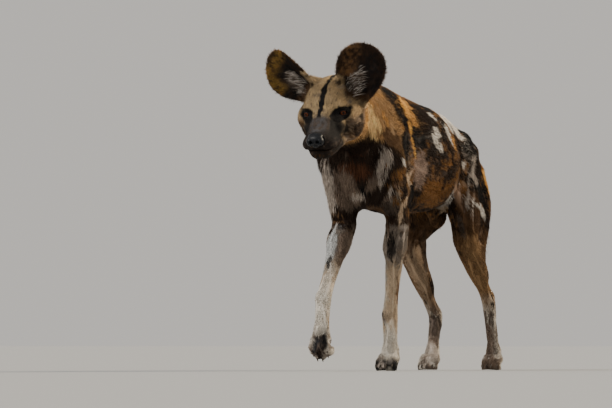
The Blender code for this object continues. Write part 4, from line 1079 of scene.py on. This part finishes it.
def island_keys(places, normals, region):
    """The island of each place: its region, its side of the dog, and the way its surface faces."""
    axis = np.argmax(np.abs(normals), axis=1)
    ahead = normals[np.arange(len(normals)), axis] > 0
    left = (in_dog(places)[:, 0] > 0.004).astype(int)
    return (region * 2 + left) * 6 + axis * 2 + ahead


def island_scale(island):
    """How large each island is drawn. The head and the ears get more room."""
    return by_region({"head": 2.2, "ear": 1.6, "": 1.0}, np.unique(island) // 12)


def add_map(mesh, uv):
    layer = mesh.uv_layers.new(name="OFBake")
    layer.data.foreach_set("uv", uv.astype(np.float32).ravel())


def add_colour(mesh, colour):
    layer = mesh.color_attributes.new(name="Coat", type="FLOAT_COLOR", domain="POINT")
    rgba = np.concatenate([np.clip(colour, 0, 1), np.ones((len(colour), 1))], 1)
    layer.data.foreach_set("color", rgba.astype(np.float32).ravel())


def mesh_from(name, places, corners):
    """A mesh of triangles from its places and the numbers of its corners, in a row."""
    mesh = bpy.data.meshes.new(name)
    mesh.vertices.add(len(places))
    mesh.vertices.foreach_set("co", places.astype(np.float32).ravel())
    mesh.loops.add(len(corners))
    mesh.loops.foreach_set("vertex_index", corners.astype(np.int32))
    mesh.polygons.add(len(corners) // 3)
    mesh.polygons.foreach_set("loop_start", np.arange(0, len(corners), 3, np.int32))
    shade_smooth(mesh)
    mesh.update(calc_edges=True)
    mesh.validate()
    return mesh


# Tufts. A flat one is a low spike of 4 corners, a full one bends and has 7.

SPIKE_FACES = np.array([(0, 2, 1), (0, 1, 3), (1, 2, 3), (2, 0, 3)])
BENT_FACES = np.array([
    (0, 2, 1), (0, 1, 4), (0, 4, 3), (1, 2, 5), (1, 5, 4),
    (2, 0, 3), (2, 3, 5), (3, 4, 6), (4, 5, 6), (5, 3, 6),
])


class Tufts:
    """Hair roots and the measures of the tuft that grows from each."""

    def __init__(self, roots, normals, flow, region, length, width, lift, colour, droop=0.0):
        count = len(roots)
        self.normals = normals
        spin = rng.normal(0, 0.14, count) + 0.20 * rough(roots, 0.010, 161)
        side = np.cross(normals, flow)
        self.flow = unit(flow + side * spin[:, None])
        self.side = np.cross(normals, self.flow)
        shift = rng.uniform(-0.0008, 0.0008, (count, 2))
        self.roots = roots + self.flow * shift[:, :1] + self.side * shift[:, 1:]
        self.region = region
        self.length = length * rng.uniform(0.75, 1.20, count)
        self.width = width * rng.uniform(0.80, 1.20, count)
        self.lift = lift * rng.uniform(0.6, 1.4, count)
        self.colour = colour * (1 + rng.normal(0, 0.13, count))[:, None]
        self.droop = np.full(count, droop)

    def mesh(self, name, bent):
        count = len(self.roots)
        n, f, s = self.normals, self.flow, self.side
        length, width, lift = [v[:, None] for v in (self.length, self.width, self.lift)]
        foot = self.roots - n * 0.0004
        corners = [foot + s * width * 0.5, foot - s * width * 0.5]
        corners.append(self.roots + n * width * 0.30 - f * width * 0.30)
        # Painted shade and light on each tuft: the corners at its sunk foot are painted darkest, the
        # upper ones lighter and the tip lightest.
        root_shade_tip_light = [0.72, 0.72, 0.80]
        fall = np.array((0.0, 0.0, -1.0)) * self.droop[:, None] * length
        if bent:
            middle = self.roots + (f * np.cos(lift) + n * np.sin(lift)) * length * 0.5 + fall * 0.25
            corners += [middle + s * width * 0.38, middle - s * width * 0.38]
            corners.append(middle + n * width * 0.30)
            soft = lift * 0.35
            corners.append(middle + (f * np.cos(soft) + n * np.sin(soft)) * length * 0.5 + fall * 0.75)
            root_shade_tip_light += [1.0, 1.0, 1.05, 1.18]
            faces = BENT_FACES
        else:
            corners.append(self.roots + (f * np.cos(lift) + n * np.sin(lift)) * length + fall)
            root_shade_tip_light.append(1.15)
            faces = SPIKE_FACES
        wide = len(corners)
        places = np.stack(corners, 1).reshape(-1, 3)
        places[:, 2] = np.maximum(places[:, 2], 0.0004)
        numbers = (np.arange(count)[:, None, None] * wide + faces).reshape(-1)
        made = mesh_from(name, places, numbers)
        colour = self.colour[:, None, :] * np.array(root_shade_tip_light)[None, :, None]
        add_colour(made, colour.reshape(-1, 3))
        keys = island_keys(self.roots, n, self.region)
        middle = islands(keys, self.roots, island_scale(keys))
        turn = np.arange(wide) * 2 * math.pi / wide
        patch = np.stack([np.cos(turn), np.sin(turn)], 1) * 0.0015
        corner_uv = (middle[:, None, :] + patch).clip(0, 1)[:, faces.ravel()]
        add_map(made, corner_uv.reshape(-1, 2))
        return made


def roots_on(chosen, cell):
    """One of the chosen fine places for each small cube of space, at random."""
    order = rng.permutation(np.flatnonzero(chosen))
    cubes = np.floor(net.places[order] / cell).astype(np.int64) + 5000
    key = (cubes[:, 0] * 10000 + cubes[:, 1]) * 10000 + cubes[:, 2]
    return order[np.unique(key, return_index=True)[1]]


def grown(chosen, cell, length, width, lift, droop=0.0):
    """Tufts over the chosen places. Length and lift may be given for each fine place."""
    roots = roots_on(chosen & haired, cell)

    def at(values):
        return values[roots] if isinstance(values, np.ndarray) else values

    return Tufts(net.places[roots], normals[roots], flow[roots], region[roots],
                 at(length), at(width), at(lift), coat_colour[roots], droop)


# The fine skin and what grows from it.

body = flesh_mesh()
refined(body)
net, region = settle_skin(body)
normals = net.normals()
d = in_dog(net.places)
h = in_head(net.places)
flow = lie(net, normals, region)
coat_colour = markings(net.places, normals, region)
streaks_and_hollow_shade = strands(net.places, flow, 0.0042, 181) + 0.6 * strands(net.places, flow, 0.010, 191)
# Hollows, such as those between the toes and in the folds, are painted darker: painted shade, laid
# with the streaks on the coat's colour.
hollow_shade = np.einsum("ij,ij->i", net.spread(net.places, 30, 0.6) - net.places, normals)
hollow_shade = np.exp(-0.40 * np.clip(hollow_shade / 0.0009, -0.6, 1.8))
streaks_and_hollow_shade = np.exp(0.34 * streaks_and_hollow_shade) * hollow_shade
coat_colour = coat_colour * streaks_and_hollow_shade[:, None]

# No hair on the nose pad, on the eyes, in the mouth line or under the paws.
haired = np.full(net.count, True)
for side in (-1, 1):
    gap = (h - (side * EYE_PLACE.x, EYE_PLACE.y, 0)) / (0.0138, 0.030, 0.0088)
    haired &= np.linalg.norm(gap, axis=1) > 1
haired &= np.linalg.norm((h - NOSE_MIDDLE) / (0.0205, 0.018, 0.0165), axis=1) > 1
from_mouth = np.abs(h[:, 2] - mouth_line(h[:, 1]))
haired &= (from_mouth > 0.0022) | (h[:, 1] > -0.012) | ~among(region, "head")
haired &= (d[:, 2] > 0.0035) | (normals[:, 2] > -0.3)


# Materials.

def feed(tree, node, inputs):
    """Sets a node's inputs, each to a value or by a wire from a socket."""
    for key, value in inputs.items():
        if isinstance(value, bpy.types.NodeSocket):
            tree.links.new(value, node.inputs[key])
        else:
            node.inputs[key].default_value = value


def add_node(tree, kind, inputs=None, **settings):
    made = tree.nodes.new("ShaderNode" + kind)
    for key, value in settings.items():
        setattr(made, key, value)
    feed(tree, made, inputs or {})
    return made


def material(name, roughness, specular):
    """A material, its node tree and its shader."""
    made = bpy.data.materials.new(name)
    made.use_nodes = True
    tree = made.node_tree
    shader = tree.nodes["Principled BSDF"]
    feed(tree, shader, {"Roughness": roughness, "Specular IOR Level": specular})
    return made, tree, shader


def painted(name, roughness):
    """A material coloured by its mesh. Returns it, its node tree, its shader and the colour."""
    made, tree, shader = material(name, roughness, 0.12)
    colour = add_node(tree, "Attribute", attribute_name="Coat").outputs["Color"]
    feed(tree, shader, {"Base Color": colour})
    return made, tree, shader, colour


def stretched_noise(tree, weights, fine, coarse):
    """Noise drawn out along the lie of the coat: three directions, mixed by its squares."""
    where = add_node(tree, "TexCoord").outputs["Object"]
    total = 0.0
    for axis in range(3):
        scale = [fine, fine, fine]
        scale[axis] = coarse
        mapping = add_node(tree, "Mapping", {"Vector": where, "Scale": scale})
        texture = add_node(tree, "TexNoise", {
            "Vector": mapping.outputs["Vector"], "Scale": 1.0, "Detail": 3.0})
        part = add_node(tree, "Math", {
            0: texture.outputs["Fac"], 1: weights[axis], 2: total}, operation="MULTIPLY_ADD")
        total = part.outputs[0]
    return total


def skin_look():
    """The skin: its own colour, with fine hairs drawn on it and standing out a little."""
    made, tree, shader, colour = painted("skin", 0.66)
    lay = add_node(tree, "Attribute", attribute_name="Lay").outputs["Vector"]
    weights = add_node(tree, "SeparateXYZ", {0: lay}).outputs
    hairs = stretched_noise(tree, weights, 1100.0, 130.0)
    shade = add_node(tree, "MapRange", {
        "Value": hairs, "From Min": 0.30, "From Max": 0.70, "To Min": 0.55, "To Max": 1.35})
    tinted = add_node(tree, "VectorMath", {
        0: colour, "Scale": shade.outputs[0]}, operation="SCALE")
    bump = add_node(tree, "Bump", {"Strength": 0.75, "Distance": 0.0012, "Height": hairs})
    feed(tree, shader, {"Base Color": tinted.outputs[0], "Normal": bump.outputs[0]})
    return made


def horn_material(name, colour, tip, roughness, scale, depth):
    """A hard or wet dark surface with small pebbles or grain in it."""
    made, tree, shader = material(name, roughness, 0.22)
    where = add_node(tree, "TexCoord").outputs["Object"]
    grain = add_node(tree, "TexVoronoi", {"Vector": where, "Scale": scale})
    cloud = add_node(tree, "TexNoise", {"Vector": where, "Scale": 90.0})
    blend = add_node(tree, "Mix", {
        "A": (*colour, 1), "B": (*tip, 1), "Factor": cloud.outputs["Fac"]}, data_type="RGBA")
    bump = add_node(tree, "Bump", {
        "Strength": 0.5, "Distance": depth, "Height": grain.outputs["Distance"]})
    feed(tree, shader, {"Base Color": blend.outputs["Result"], "Normal": bump.outputs[0]})
    return made, shader


fur_material = painted("fur", 0.66)[0]


# Skin.

lighten(body, net, region)
mesh = body.data
kept = array_of(mesh.vertices, "co", 3)
nearest = nearest_of(net.places, kept)
skin_colour = markings(kept.astype(float), normals[nearest], region[nearest])
# The skin is painted a fifth darker than the tufts over it: painted shade under the coat. It also
# takes the streaks and the painted shade of the hollows.
add_colour(mesh, skin_colour * 0.80 * streaks_and_hollow_shade[nearest][:, None])
lay = mesh.attributes.new(name="Lay", type="FLOAT_VECTOR", domain="POINT")
lay.data.foreach_set("vector", (flow[nearest] ** 2).astype(np.float32).ravel())
work = bmesh.new()
work.from_mesh(mesh)
bmesh.ops.triangulate(work, faces=work.faces[:])
work.to_mesh(mesh)
work.free()
faces = array_of(mesh.polygons, "vertices", 3, np.int32)
face_normals = array_of(mesh.polygons, "normal", 3).astype(float)
middles = kept[faces].mean(1).astype(float)
keys = np.repeat(island_keys(middles, face_normals, region[nearest][faces[:, 0]]), 3)
add_map(mesh, islands(keys, kept[faces.ravel()].astype(float), island_scale(keys)))
shade_smooth(mesh)
mesh.materials.append(skin_look())
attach(body, "root")
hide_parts(*FLESH, "tail")


# Coat.

def add_coat(name, tufts, bent=True):
    made = new_object(name, tufts.mesh(name, bent))
    made.data.materials.append(fur_material)
    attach(made, "root")


def joined(first, second):
    """Two sets of tufts as one."""
    for key, value in vars(first).items():
        setattr(first, key, np.concatenate([value, getattr(second, key)]))
    return first


def is_in(*names):
    return among(region, *names)


x, y, z = d.T
head_y = h[:, 1]
shaggy = ramp(y, -0.085, -0.125) * ramp(z, 0.36, 0.40)
trunk = is_in("torso") & (shaggy < 0.5)
rear = ramp(y, 0.40, 0.46) * ramp(z, 0.30, 0.40)
trunk_length = 0.0105 + 0.004 * rear + 0.003 * ramp(z, 0.60, 0.66)
for name, half in (("coat_left", x >= 0), ("coat_right", x < 0)):
    tufts = grown(trunk & half, 0.0031, trunk_length, 0.0017, 0.17)
    add_coat(name, tufts, bent=False)

ruff = is_in("neck") | (is_in("torso") & (shaggy >= 0.5))
back_of_head = is_in("head") & (head_y - 0.5 * h[:, 2] > 0.085)
ruff |= back_of_head
ruff_length = 0.0165 + 0.007 * ramp(z, 0.56, 0.50) - 0.003 * ramp(z, 0.44, 0.38)
add_coat("coat_neck", grown(ruff, 0.0034, ruff_length, 0.0018, 0.24, 0.10))

face = is_in("head") & ~back_of_head
face_length = 0.0030 + 0.0055 * ramp(head_y, -0.035, 0.030)
face_length += 0.0065 * ramp(head_y, 0.010, 0.070) * ramp(h[:, 2], 0.010, -0.030)
face_width = 0.00075 + 0.0006 * ramp(head_y, -0.03, 0.05)
face_lift = 0.18 + 0.12 * ramp(head_y, 0.01, 0.06)
tufts = grown(face, 0.0018, face_length, face_width, face_lift)
add_coat("coat_head", tufts, bent=False)

leg_length = 0.0062 + 0.003 * ramp(z, 0.20, 0.34)
for name, limb, slot, measures in (
    ("coat_fore_legs", "fore_leg", "fore_leg_fur", (0.0025, leg_length, 0.0012, 0.17)),
    ("coat_hind_legs", "hind_leg", "hind_leg_fur", (0.0025, leg_length, 0.0012, 0.17)),
    ("coat_fore_paws", "fore_paw", "fore_leg_fur", (0.0019, 0.0036, 0.0009, 0.14)),
    ("coat_hind_paws", "hind_paw", "hind_leg_fur", (0.0019, 0.0036, 0.0009, 0.14)),
):
    own = is_in(limb + "_left", limb + "_right")
    add_coat(name, grown(own, *measures), bent=False)

tail_along = np.zeros(net.count)
on_tail = is_in("tail")
tail_along[on_tail] = tail_share(net.places[on_tail])[0]
brush = np.interp(tail_along, (0, 0.25, 0.45, 0.8, 1), (0.012, 0.026, 0.050, 0.056, 0.050))
raised = np.interp(tail_along, (0, 0.25, 0.6, 1), (0.20, 0.30, 0.40, 0.25))
add_coat("coat_tail", grown(on_tail, 0.0021, brush, 0.0022, raised, 0.08))


# Ears: fuzz on both sides, a fringe on the rim and long pale hairs in the cup.

def cup_hairs(name, count):
    """Long pale hairs that fan out from the foot of the ear's cup."""
    up, out, face = ear_frame(name)[1:]
    height, across, front = ear_place(name, net.places)
    facing = is_in(name, "head") & (normals @ face > 0.15) & (np.abs(front) < 0.045)
    if name == "ear_left":
        spot = np.hypot((across + 0.10) / 0.34, (height - 0.24) / 0.27)
        way = up * 0.62 + out * 0.62 + face * 0.30
    else:
        spot = np.hypot((across + 0.02) / 0.36, (height - 0.24) / 0.28)
        way = up * 0.95 + out * 0.20 + face * 0.30
    spot = spot + 0.35 * rough(net.places, 0.012, 211)
    own = rng.choice(np.flatnonzero(facing & (spot < 1)), count)
    swing = rough(net.places[own], 0.011, 212)[:, None] * 0.45 * np.cross(way, face)
    fan = (across[own] * 0.8)[:, None] * out + way + swing + rng.normal(0, 0.13, (count, 3))
    pale = mix(INK["grey_brown"], INK["white"], rng.uniform(0, 1, count) ** 1.3)
    made = Tufts(net.places[own], normals[own], unit(fan), region[own],
                 0.021, 0.0009, 0.12, pale * 0.75, 0.16)
    made.length = made.length * rng.uniform(0.30, 1.15, count)
    return made


def rim_fringe(name, cell, length, width):
    """A ragged fringe that stands outwards all round the ear's edge."""
    up, out, face = ear_frame(name)[1:]
    edge = is_in(name) & (np.abs(normals @ face) < 0.55)
    edge &= ear_place(name, net.places)[0] > 0.12
    fringe = grown(edge, cell, length, width, 0.20)
    height, across = ear_place(name, fringe.roots)[:2]
    outwards = unit(up * (height - 0.42)[:, None] + out * (across * 0.7)[:, None])
    fringe.flow = unit(fringe.flow * 0.45 + outwards + rng.normal(0, 0.22, outwards.shape))
    fringe.side = unit(np.cross(fringe.normals, fringe.flow) + 1e-6)
    fringe.length = fringe.length * (0.85 + 0.5 * rough(fringe.roots, 0.006, 201))
    return fringe


for name in ("ear_left", "ear_right"):
    tufts = grown(is_in(name), 0.0017, 0.0050, 0.0010, 0.30)
    tufts = joined(tufts, rim_fringe(name, 0.0012, 0.0056, 0.0009))
    tufts = joined(tufts, rim_fringe(name, 0.0020, 0.0078, 0.0012))
    add_coat("coat_" + name, joined(tufts, cup_hairs(name, 210)))


# Eyes and lids.

# Colours of the eye by the angle from its axis, in degrees: the pupil, the iris and its dark
# edge, and what lies around it.
EYE_COLOURS = ((0.0, (0.003, 0.002, 0.002)), (12.5, (0.004, 0.002, 0.002)),
               (15.5, (0.060, 0.015, 0.004)), (25.0, (0.088, 0.023, 0.006)),
               (32.0, (0.042, 0.012, 0.005)), (37.0, (0.006, 0.004, 0.004)),
               (60.0, (0.020, 0.014, 0.012)))


def eye_centre(side):
    return Vector((side * EYE_PLACE.x, EYE_PLACE.y, EYE_PLACE.z))


def add_eye(name, side):
    """An eyeball whose front bulges a little, coloured by the angle from its axis."""
    work = bmesh.new()
    across, up, out = eye_axes(side)
    turn = Matrix((across, up, out)).transposed().to_4x4()
    place = HEAD @ Matrix.Translation(eye_centre(side)) @ turn
    bmesh.ops.create_uvsphere(work, u_segments=64, v_segments=48, radius=EYE_RADIUS)
    colours = []
    for vert in work.verts:
        angle = math.degrees(math.acos(max(-1, min(1, vert.co.z / EYE_RADIUS))))
        grain = 1 + 0.25 * math.sin(17 * math.atan2(vert.co.y, vert.co.x)) * (15 < angle < 34)
        stops = [stop for stop, _ in EYE_COLOURS]
        colour = [np.interp(angle, stops, [c[i] for _, c in EYE_COLOURS]) * grain for i in range(3)]
        colours.append(colour)
        vert.co *= 1 + 0.055 * math.exp(-(angle / 24) ** 2)
    work.transform(place)
    mesh = mesh_of(work, name)
    shade_smooth(mesh)
    add_colour(mesh, np.array(colours))
    made = new_object(name, mesh)
    mesh.materials.append(eye_material)
    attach(made, "root")
    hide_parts("eye_left" if side > 0 else "eye_right")


# A lid's edge runs round the eye: half width, upper and lower half height, as angles seen
# from the eyeball's centre.
LID_HALF, LID_TOP, LID_FOOT = 58.0, 25.0, 24.0


def lids_mesh():
    """A rounded rim of skin that hugs each eyeball, with its outer edge under the coat."""
    work = bmesh.new()
    around, through = 72, 12
    for side in (-1, 1):
        across, up, out = eye_axes(side)
        rings = []
        for i in range(around):
            t = 2 * math.pi * i / around
            high = LID_TOP if math.sin(t) > 0 else LID_FOOT
            a = math.radians(LID_HALF) * math.cos(t)
            b = math.radians(high) * math.copysign(abs(math.sin(t)) ** 1.15, math.sin(t))
            b -= math.radians(7) * math.cos(t) * side
            ring = []
            for j in range(through):
                s = 2 * math.pi * j / through
                outer = (1 - math.cos(s)) / 2
                spread = 1.0 + 0.416 * outer
                radius = EYE_RADIUS + 0.0009 + 0.0011 * math.sin(s) - 0.0008 * outer
                low = Vector((math.sin(a * spread), math.sin(b * spread) * math.cos(a * 0.4), 0))
                high_part = math.sqrt(max(1 - low.x ** 2 - low.y ** 2, 0.02))
                way = (across * low.x + up * low.y + out * high_part).normalized()
                ring.append(work.verts.new(HEAD @ (eye_centre(side) + way * radius)))
            rings.append(ring)
        for i in range(around):
            for j in range(through):
                k = (j + 1) % through
                following = rings[(i + 1) % around]
                work.faces.new((rings[i][j], following[j], following[k], rings[i][k]))
    bmesh.ops.recalc_face_normals(work, faces=work.faces[:])
    mesh = mesh_of(work, "lids")
    shade_smooth(mesh)
    return mesh


eye_material = painted("eye", 0.06)[0]
add_eye("eyeball_left", 1)
add_eye("eyeball_right", -1)
lid_material = horn_material(
    "lid", (0.010, 0.008, 0.008), (0.022, 0.017, 0.015), 0.42, 900.0, 0.0003)[0]
lids = new_object("lids", lids_mesh())
lids.data.materials.append(lid_material)
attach(lids, "root")


# Nose.

NOSE_LUMPS = (
    # centre in the head's frame, half sizes
    ((0.0, -0.1005, -0.0350), (0.0190, 0.0120, 0.0125)),
    ((0.0, -0.0950, -0.0285), (0.0178, 0.0120, 0.0085)),
    ((0.0115, -0.1015, -0.0385), (0.0098, 0.0108, 0.0108)),
    ((-0.0115, -0.1015, -0.0385), (0.0098, 0.0108, 0.0108)),
    ((0.0, -0.0985, -0.0465), (0.0085, 0.0095, 0.0085)),
    ((0.0, -0.0900, -0.0400), (0.0185, 0.0110, 0.0140)),
)


def nose_pad():
    """The nose pad with its nostrils, its middle groove and its pebbles."""
    work = bmesh.new()
    for centre, half in NOSE_LUMPS:
        place = Matrix.Translation(centre) @ Matrix.Diagonal((*half, 1)) @ Matrix.Scale(1.05, 4)
        bmesh.ops.create_uvsphere(work, u_segments=40, v_segments=24, radius=1, matrix=HEAD @ place)
    made = new_object("nose_pad", mesh_of(work, "nose"))
    fuse(made, 0.00055)
    nose = Net(made.data)
    places = nose.spread(nose.places, 14)
    n = in_head(places)
    side = np.abs(n[:, 0])
    # Each nostril is a round hole that runs out into a slit at the side.
    hole = np.hypot((side - 0.0082) / 0.0038, (n[:, 2] + 0.0385) / 0.0040)
    slit_line = -0.0405 - 0.16 * (side - 0.0082)
    slit = np.abs(n[:, 2] - slit_line) / 0.0014
    slit = np.maximum(slit, np.abs(side - 0.0150) / 0.0072)
    inwards = np.array(HEAD)[:3, :3] @ np.array((0.0, 1.0, 0.10))
    deep = 0.0062 * np.exp(-hole ** 4) + 0.0030 * np.exp(-slit ** 4)
    deep += 0.0012 * bell(n[:, 0], 0.0010) * ramp(n[:, 2], -0.030, -0.036)
    deep *= ramp(n[:, 1], -0.094, -0.100)
    places = places + deep[:, None] * inwards
    pebbles = noise(places, 0.0014, 171) - 0.5
    nose.places = places
    set_places(made.data, places + nose.normals() * (0.00016 * pebbles * (deep < 0.001))[:, None])
    shade_smooth(made.data)
    return made


nose_material, nose_shader = horn_material(
    "nose", (0.0030, 0.0036, 0.0052), (0.006, 0.008, 0.012), 0.38, 750.0, 0.00025)
nose_shader.inputs["Coat Weight"].default_value = 0.05
nose_shader.inputs["Coat Roughness"].default_value = 0.25
nose = nose_pad()
nose.data.materials.append(nose_material)
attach(nose, "root")
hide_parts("nose")


# Claws.

CLAWS = [name for name in NODES if "claw" in name]
work = bmesh.new()
for name in CLAWS:
    work.from_mesh(NODES[name].data)
claws = new_object("claws", mesh_of(work, "claws"))
fuse(claws, 0.0005)
claw_net = Net(claws.data)
set_places(claws.data, claw_net.spread(claw_net.places, 8))
shade_smooth(claws.data)
claw_material = horn_material(
    "claw", (0.012, 0.010, 0.009), (0.090, 0.070, 0.052), 0.38, 500.0, 0.0002)[0]
claws.data.materials.append(claw_material)
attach(claws, "root")
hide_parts(*CLAWS)


# Floor, light and camera.

def soft_sun(name, place, spread, power, colour):
    """Light from a far wide lamp, from this place towards the dog."""
    data = bpy.data.lights.new(name, "SUN")
    data.angle = math.radians(spread)
    data.energy = power
    data.color = colour
    lamp = bpy.data.objects.new(name, data)
    lamp.location = place
    lamp.rotation_euler = (-Vector(place)).to_track_quat("-Z", "Y").to_euler()
    bpy.context.scene.collection.objects.link(lamp)


floor_mesh = bpy.data.meshes.new("floor")
half = 60.0
floor_mesh.from_pydata(
    [(-half, -half, 0), (half, -half, 0), (half, half, 0), (-half, half, 0)], [], [(0, 1, 2, 3)])
floor = new_object("floor", floor_mesh)
floor_material, _, floor_shader = material("floor", 0.85, 0.2)
floor_shader.inputs["Base Color"].default_value = (0.376, 0.386, 0.393, 1)
floor_mesh.materials.append(floor_material)

world = bpy.data.worlds.new("studio")
bpy.context.scene.world = world
world.use_nodes = True
background = world.node_tree.nodes["Background"]
feed(world.node_tree, background, {"Color": (0.965, 0.922, 0.862, 1), "Strength": 0.62})

soft_sun("key", (-1.6, -3.4, 2.9), 35, 2.55, (1.0, 0.96, 0.90))
soft_sun("rim", (2.6, 2.6, 2.3), 14, 3.4, (1.0, 0.84, 0.62))

back = Vector((
    math.sin(CAMERA_TURN) * math.cos(CAMERA_RISE),
    -math.cos(CAMERA_TURN) * math.cos(CAMERA_RISE),
    math.sin(CAMERA_RISE),
))
foot = Vector((ORIGIN.x, ORIGIN.y, 0))
# What the camera looks at: so far to the left of the withers' foot and so high, in metres.
AIM_LEFT = 0.1878
AIM_HIGH = 0.4073
camera_data = bpy.data.cameras.new("camera")
camera_data.lens = 337.65
camera_data.clip_end = 200
camera = bpy.data.objects.new("camera", camera_data)
camera.location = foot + back * CAMERA_AWAY
aim = foot - Vector(ACROSS) * AIM_LEFT + Vector((0, 0, AIM_HIGH))
camera.rotation_euler = (aim - camera.location).to_track_quat("-Z", "Y").to_euler()
bpy.context.scene.collection.objects.link(camera)
bpy.context.scene.camera = camera
